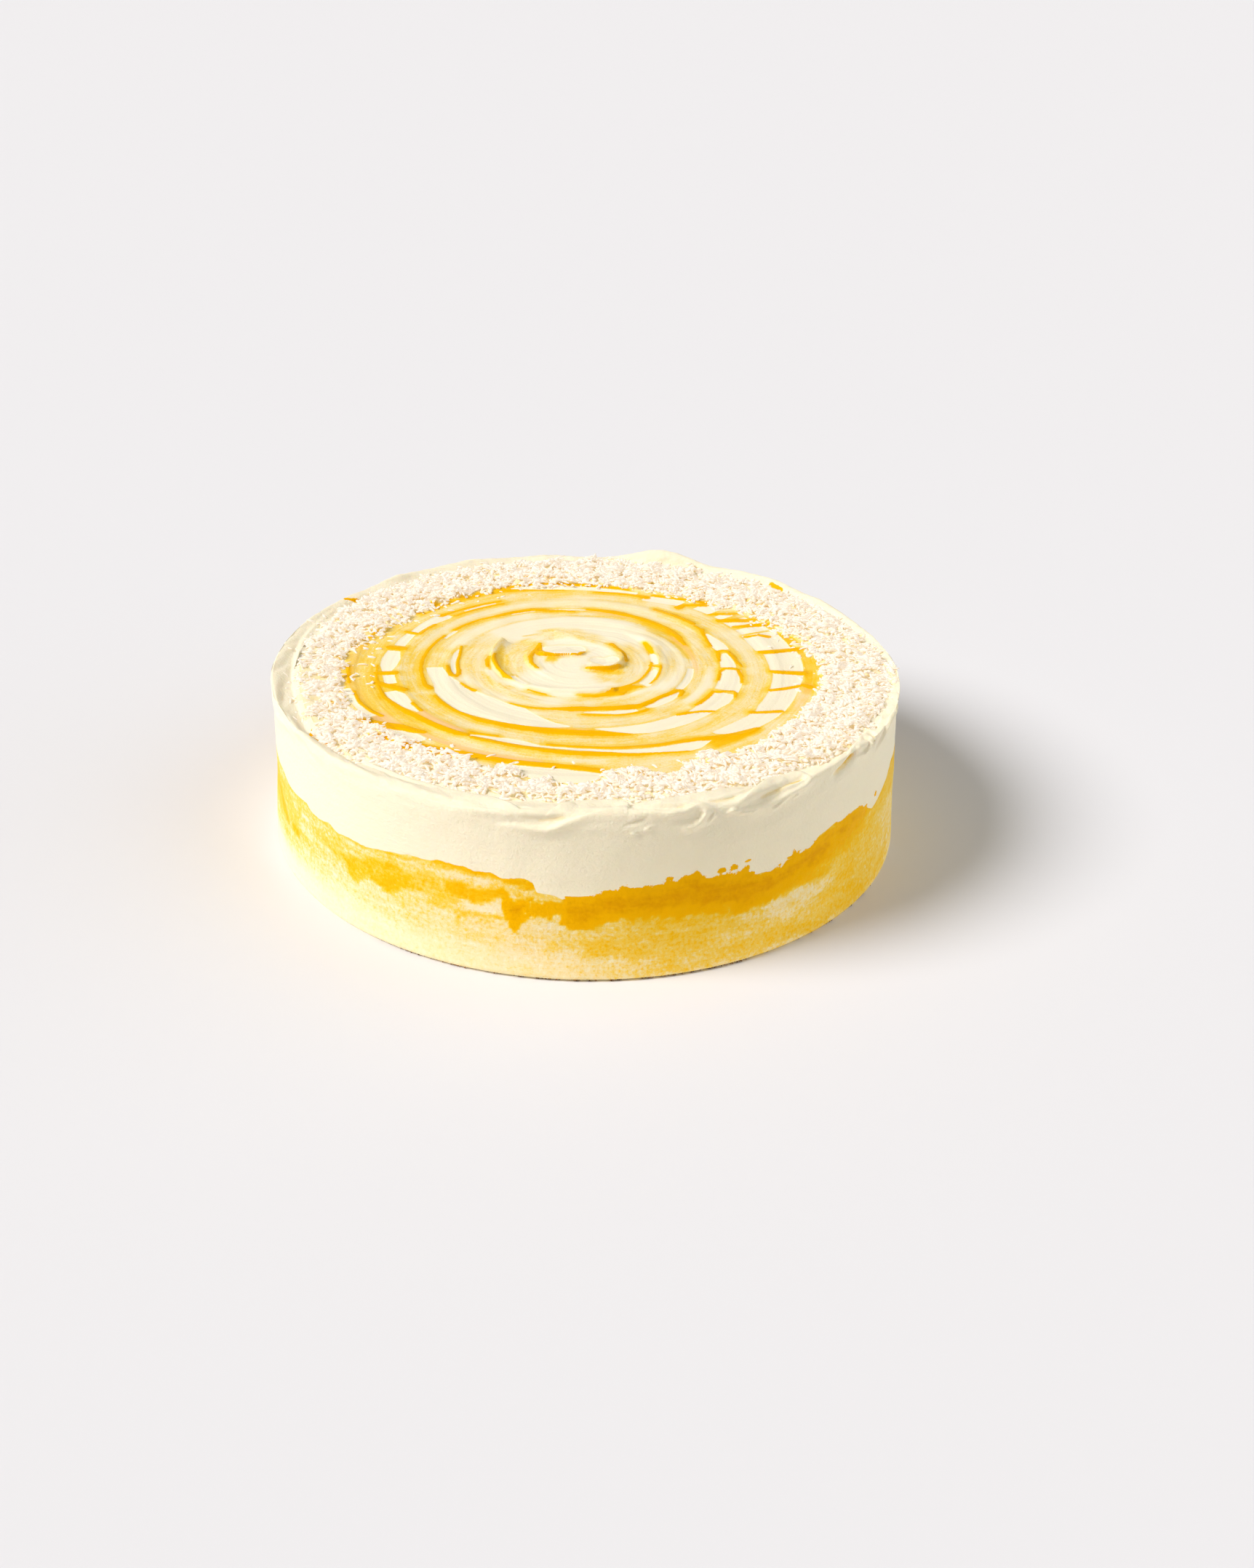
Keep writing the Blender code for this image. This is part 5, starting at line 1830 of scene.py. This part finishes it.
SHREDS = Scatter(
    "coconut_shreds",
    (Flake(5.0, 1.4, 0.8, 1.2, 0.45), Flake(4.2, 1.7, 0.8, -0.8, 0.4), Flake(6.0, 1.2, 0.8, 1.6, 0.5)),
    each_square_mm=0.17, smallest=0.55, largest=1.05, tilt=0.36, depth=1.0, seed=11,
)
CHIPS = Scatter(
    "coconut_chips",
    (Flake(3.0, 1.8, 1.0, 0.5, 0.3, shares=SHORT), Flake(2.5, 2.0, 1.0, -0.3, 0.35, shares=(-0.5, 0.1, 0.5)),
     Flake(3.6, 1.6, 1.0, 0.7, 0.4, shares=(-0.5, -0.1, 0.5)), Flake(2.2, 1.7, 1.1, 0.3, 0.3, shares=SHORT)),
    each_square_mm=0.29, smallest=0.7, largest=1.25, tilt=0.45, depth=1.2, seed=23,
)
CRUMBS = Scatter(
    "coconut_crumbs",
    (Flake(1.5, 1.2, 0.9, 0.1, 0.3, 4, SHORT), Flake(1.2, 1.0, 0.8, 0.0, 0.4, 4, SHORT)),
    each_square_mm=0.14, smallest=0.7, largest=1.3, tilt=0.8, depth=0.5, seed=37,
)


@dataclass
class CoconutRing:
    """The coconut strewn over a ring near the rim, with strays inside it. Sizes in millimetres."""

    outline: Outline
    top: SwirledTop
    wall: "WallAndRim"
    segments: int = 480
    rows: int = 50
    inmost: float = 76.0
    outmost: float = 129.0
    lift: float = 0.25
    headroom: float = 1.5
    strays: tuple[Patch, ...] = (
        Patch(104, 150, 80, 92, 0.07, 3.0),
        Patch(160, 197, 84, 96, 0.08, 3.0),
        Patch(-12, 45, 86, 98, 0.04, 3.0),
        Patch(215, 290, 88, 97, 0.03, 3.0),
        Patch(140, 232, 110, 121, 0.12, 4.0),
    )

    def bed(self) -> bpy.types.Object:
        """Make the surface that the coconut is strewn on, with how thickly it lies at each point."""
        bearing = np.arange(self.segments) * 360.0 / self.segments
        angle = np.radians(bearing)
        x0, y0 = self.outline.swirl_x, self.outline.swirl_y
        start = np.stack([x0 + self.inmost * np.cos(angle), y0 + self.inmost * np.sin(angle)], axis=1)
        finish = self.outmost * np.stack([np.cos(angle), np.sin(angle)], axis=1)
        points, cover = [], []
        for share in np.linspace(0.0, 1.0, self.rows):
            x, y = blended(start, finish, share).T
            depth, strewn = self.outline.coconut(x, y)
            around, radius = self.outline.swirl_polar(x, y)
            for patch in self.strays:
                strewn = np.maximum(strewn, patch.level * patch.weight(around, radius, radius))
            ground = self.wall.inner_height(x, y, self.top.relief(x, y))
            height = ground + self.lift + (1.0 - self.outline.coconut_ground) * depth
            points.append(np.stack([x, y, np.minimum(height, HIGHEST - self.headroom)], axis=1))
            cover.append(strewn)
        faces = ring_faces(self.rows, self.segments)
        mesh = make_mesh("coconut_bed", np.concatenate(points) * MM, faces)
        store(mesh, "cover", np.concatenate(cover))
        return add_object("coconut_bed", mesh)

    def tree(self) -> bpy.types.NodeTree:
        """Make the node tree that strews flakes over a surface."""
        tree = bpy.data.node_groups.new("strew", "GeometryNodeTree")
        kinds = (
            ("Geometry", "Geometry"), ("Flakes", "Collection"), ("Density", "Float"), ("Smallest", "Float"),
            ("Largest", "Float"), ("Tilt", "Float"), ("Depth", "Float"), ("Seed", "Int"),
            ("Finish", "Material"),
        )
        for title, kind in kinds:
            tree.interface.new_socket(title, in_out="INPUT", socket_type="NodeSocket" + kind)
        tree.interface.new_socket("Geometry", in_out="OUTPUT", socket_type="NodeSocketGeometry")
        graph = Graph(tree)
        given = graph.node("NodeGroupInput").outputs
        cover = graph.fed("GeometryNodeInputNamedAttribute", {"Name": "cover"}, data_type="FLOAT")
        points = graph.fed("GeometryNodeDistributePointsOnFaces", {
            "Mesh": given["Geometry"],
            "Density": graph.maths("MULTIPLY", given["Density"], cover.outputs[0]),
            "Seed": given["Seed"],
        }, distribute_method="RANDOM")

        def draw(low: object, high: object, number: int, whole: bool = False) -> bpy.types.NodeSocket:
            """A random number for each point, of its own sequence."""
            first, result = DRAW_WHOLE if whole else DRAW_NUMBER
            seed = graph.maths("ADD", given["Seed"], float(number))
            made = graph.fed("FunctionNodeRandomValue", {first: low, first + 1: high, "Seed": seed},
                             data_type="INT" if whole else "FLOAT")
            return made.outputs[result]

        depth = graph.maths("MULTIPLY", given["Depth"], -1.0)
        sunk = graph.fed("ShaderNodeCombineXYZ", {"Z": draw(depth, 0.0, 1)})
        moved = graph.fed("GeometryNodeSetPosition", {
            "Geometry": points.outputs["Points"],
            "Offset": sunk.outputs[0],
        })
        down = graph.maths("MULTIPLY", given["Tilt"], -1.0)
        turn = graph.fed("ShaderNodeCombineXYZ", {
            "X": draw(down, given["Tilt"], 2),
            "Y": draw(down, given["Tilt"], 3),
            "Z": draw(0.0, 2.0 * math.pi, 4),
        })
        source = graph.fed("GeometryNodeCollectionInfo", {
            "Collection": given["Flakes"],
            "Separate Children": True,
            "Reset Children": True,
        })
        strewn = graph.fed("GeometryNodeInstanceOnPoints", {
            "Points": moved.outputs[0],
            "Instance": source.outputs[0],
            "Pick Instance": True,
            "Instance Index": draw(0, 100, 5, whole=True),
            "Rotation": graph.fed("FunctionNodeEulerToRotation", {0: turn.outputs[0]}).outputs[0],
            "Scale": draw(given["Smallest"], given["Largest"], 6),
        })
        real = graph.fed("GeometryNodeRealizeInstances", {0: strewn.outputs[0]})
        finished = graph.fed("GeometryNodeSetMaterial", {
            "Geometry": real.outputs[0],
            "Material": given["Finish"],
        })
        graph.fed("NodeGroupOutput", {0: finished.outputs[0]})
        return tree

    def strew(self, bed: bpy.types.Object, tree: bpy.types.NodeTree, kind: Scatter,
              finish: bpy.types.Material) -> bpy.types.Object:
        """Strew one kind of coconut over the bed.

        Args:
            bed: The surface it lies on.
            tree: The node tree that strews.
            kind: Which flakes, how many and how they lie.
            finish: Their material.

        Returns:
            The piece, a plain mesh.
        """
        flakes = bpy.data.collections.new(kind.name)
        for number, flake in enumerate(kind.flakes):
            name = f"{kind.name}_{number}"
            flakes.objects.link(bpy.data.objects.new(name, flake.mesh(name)))
        modifier = bed.modifiers.new(kind.name, "NODES")
        modifier.node_group = tree
        values = {
            "Flakes": flakes, "Density": kind.each_square_mm / MM ** 2, "Smallest": kind.smallest,
            "Largest": kind.largest, "Tilt": kind.tilt, "Depth": kind.depth * MM, "Seed": kind.seed,
            "Finish": finish,
        }
        for item in tree.interface.items_tree:
            if item.in_out == "INPUT" and item.name in values:
                modifier[item.identifier] = values[item.name]
        bpy.context.view_layer.update()
        evaluated = bed.evaluated_get(bpy.context.evaluated_depsgraph_get())
        mesh = bpy.data.meshes.new_from_object(evaluated)
        mesh.name = kind.name
        bed.modifiers.remove(modifier)
        for flake in list(flakes.objects):
            bpy.data.objects.remove(flake, do_unlink=True)
        bpy.data.collections.remove(flakes)
        return add_object(kind.name, mesh)

    def build(self, finish: bpy.types.Material) -> None:
        """Strew every kind, fix the pieces to the cake and take the bed away."""
        bed = self.bed()
        tree = self.tree()
        for kind in (SHREDS, CHIPS, CRUMBS):
            settle(self.strew(bed, tree, kind, finish))
        bpy.data.objects.remove(bed, do_unlink=True)


# --------------------------------------------------------------------------------------------------
# Crumbs of sponge at the foot, partly a painted shadow line
# --------------------------------------------------------------------------------------------------


@dataclass(frozen=True)
class FootCrumbsAndShadow:
    """Brown crumbs that have come out from under the cream along the foot, partly painted shadow. Sizes in
    millimetres.
    """

    crumbs: Scatter = Scatter(
        "sponge_crumbs",
        (Flake(1.4, 0.9, 0.7, 0.1, 0.3, 4, SHORT), Flake(0.9, 0.9, 0.7, 0.0, 0.3, 4, SHORT)),
        each_square_mm=4.2, smallest=0.6, largest=0.95, tilt=0.4, depth=0.1, seed=53,
    )
    patches: tuple[Patch, ...] = (
        Patch(233, 262, 0.0, 1.0, 0.6, 2.0),
        Patch(262, 298, 0.0, 1.0, 1.0, 2.0),
        Patch(298, 316, 0.0, 1.0, 0.3, 2.0),
        Patch(316, 332, 0.0, 1.0, 0.9, 2.0),
        Patch(20, 70, 0.0, 1.0, 0.4, 2.0),
        Patch(110, 150, 0.0, 1.0, 0.5, 2.0),
    )
    radius: float = 131.42
    low: float = 0.56
    high: float = 1.2
    segments: int = 720
    # Baked brown, darkened partly as painted shadow in the gap under the foot
    light: Colour = (168, 110, 54)
    dark: Colour = (84, 48, 22)
    light_range: tuple[float, float] = (0.4, 0.62)
    roughness: float = 0.8
    mottle_scale: float = 900.0
    even_cover: float = 0.6
    uneven_cover: float = 0.7
    uneven_pitch: tuple[float, float] = (1.1, 3.0)

    def bed(self) -> bpy.types.Object:
        """Make the narrow ring that the crumbs lie on, with how closely they lie at each point."""
        bearing = np.arange(self.segments) * 360.0 / self.segments
        angle = np.radians(bearing)
        x, y = self.radius * np.cos(angle), self.radius * np.sin(angle)
        rows = [np.stack([x, y, np.full_like(angle, height)], axis=1) for height in (self.low, self.high)]
        cover = np.zeros_like(bearing)
        for patch in self.patches:
            weight = patch.weight(bearing, np.full_like(bearing, 0.5), self.radius)
            cover = np.maximum(cover, patch.level * weight)
        short, long = self.uneven_pitch
        waves = ripple(bearing / short, bearing / long, 54)
        cover *= np.clip(self.even_cover + self.uneven_cover * waves, 0.0, 1.0)
        outwards = ring_faces(len(rows), self.segments)[:, [0, 3, 2, 1]]
        mesh = make_mesh("crumb_bed", np.concatenate(rows) * MM, outwards)
        store(mesh, "cover", np.tile(cover, 2))
        return add_object("crumb_bed", mesh)

    def material(self) -> bpy.types.Material:
        """Make the baked brown finish, which is partly painted shadow at the foot."""
        made, graph, place = new_material("foot_crumb_and_shadow")
        shade = graph.noise(place, self.mottle_scale, 2.0, 0.6)
        colour = graph.mix(graph.stretch(shade, *self.light_range), linear(self.dark), linear(self.light))
        graph.show({"Base Color": colour, "Roughness": self.roughness})
        return made

    def build(self, ring: CoconutRing) -> None:
        """Strew the crumbs the way the coconut is strewn, and fix them to the cake."""
        bed = self.bed()
        settle(ring.strew(bed, ring.tree(), self.crumbs, self.material()))
        bpy.data.objects.remove(bed, do_unlink=True)


# --------------------------------------------------------------------------------------------------
# The studio
# --------------------------------------------------------------------------------------------------


@dataclass(frozen=True)
class Daylight:
    """Broad light from one side: angles in degrees, power in W/m2, distance in metres."""

    name: str = "window"
    bearing: float = 195.0
    elevation: float = 41.0
    spread: float = 28.0
    power: float = 3.6
    colour: tuple[float, float, float] = (1.0, 0.975, 0.965)
    distance: float = 2.0

    def build(self) -> None:
        """Make the light and aim it at the cake."""
        data = bpy.data.lights.new(self.name, "SUN")
        data.energy = self.power
        data.angle = math.radians(self.spread)
        data.color = self.colour
        around, up = math.radians(self.bearing), math.radians(self.elevation)
        towards = Vector((math.cos(around) * math.cos(up), math.sin(around) * math.cos(up), math.sin(up)))
        item = bpy.data.objects.new(self.name, data)
        item.location = towards * self.distance
        item.rotation_euler = towards.to_track_quat("Z", "Y").to_euler()
        bpy.context.scene.collection.objects.link(item)


@dataclass(frozen=True)
class LowGlow:
    """Light that comes up from below the front and right of the cake, in millimetres and watts."""

    name: str = "low_glow"
    x: float = 18.0
    y: float = -22.0
    radius: float = 152.0
    height: float = 0.6
    power: float = 0.085
    colour: Colour = (255, 236, 184)

    def build(self) -> None:
        """Make the light, facing up."""
        data = bpy.data.lights.new(self.name, "AREA")
        data.shape = "DISK"
        data.size = 2.0 * self.radius * MM
        data.energy = self.power
        data.color = linear(self.colour)[:3]
        item = bpy.data.objects.new(self.name, data)
        item.location = (self.x * MM, self.y * MM, self.height * MM)
        item.rotation_euler = (math.pi, 0.0, 0.0)
        item.visible_camera = False
        bpy.context.scene.collection.objects.link(item)


@dataclass(frozen=True)
class Studio:
    """Pale floor, white surroundings and broad light from the left."""

    floor_size: float = 60.0
    floor_colour: Colour = (227, 227, 231)
    surround: Colour = (255, 247, 226)
    surround_strength: float = 0.21
    lights: tuple["Daylight | LowGlow", ...] = (
        Daylight(),
        Daylight("fill", bearing=355.0, elevation=30.0, spread=70.0, power=1.2, colour=(0.97, 1.0, 1.03)),
        LowGlow(),
    )

    def build(self) -> None:
        """Make the floor, the surroundings and the lights."""
        half = 0.5 * self.floor_size
        corners = [(-half, -half, 0.0), (half, -half, 0.0), (half, half, 0.0), (-half, half, 0.0)]
        mesh = bpy.data.meshes.new("floor")
        mesh.from_pydata(corners, [], [(0, 1, 2, 3)])
        floor = add_object("floor", mesh)
        paper = bpy.data.materials.new("paper")
        paper.use_nodes = True
        shader = paper.node_tree.nodes["Principled BSDF"]
        shader.inputs["Base Color"].default_value = linear(self.floor_colour)
        shader.inputs["Roughness"].default_value = 1.0
        shader.inputs["Specular IOR Level"].default_value = 0.0
        mesh.materials.append(paper)
        world = bpy.data.worlds.new("surroundings")
        bpy.context.scene.world = world
        world.use_nodes = True
        sky = world.node_tree.nodes["Background"]
        sky.inputs["Color"].default_value = linear(self.surround)
        sky.inputs["Strength"].default_value = self.surround_strength
        for light in self.lights:
            light.build()
        bpy.context.scene.view_settings.view_transform = "Standard"


def main() -> None:
    """Build the studio and every piece of the cake in order."""
    logging.basicConfig(level=logging.INFO, format="%(name)s: %(message)s")
    view = Viewpoint()
    outline = Outline()
    view.make_camera()
    Studio().build()
    tint = Tones().group()
    wall = WallAndRim(outline)
    wall.dress(wall.build(), tint)
    top = SwirledTop(outline, view)
    top.dress(top.build(), tint)
    ring = CoconutRing(outline, top, wall)
    ring.build(Coconut().material())
    FootCrumbsAndShadow().build(ring)


if __name__ == "__main__":
    main()
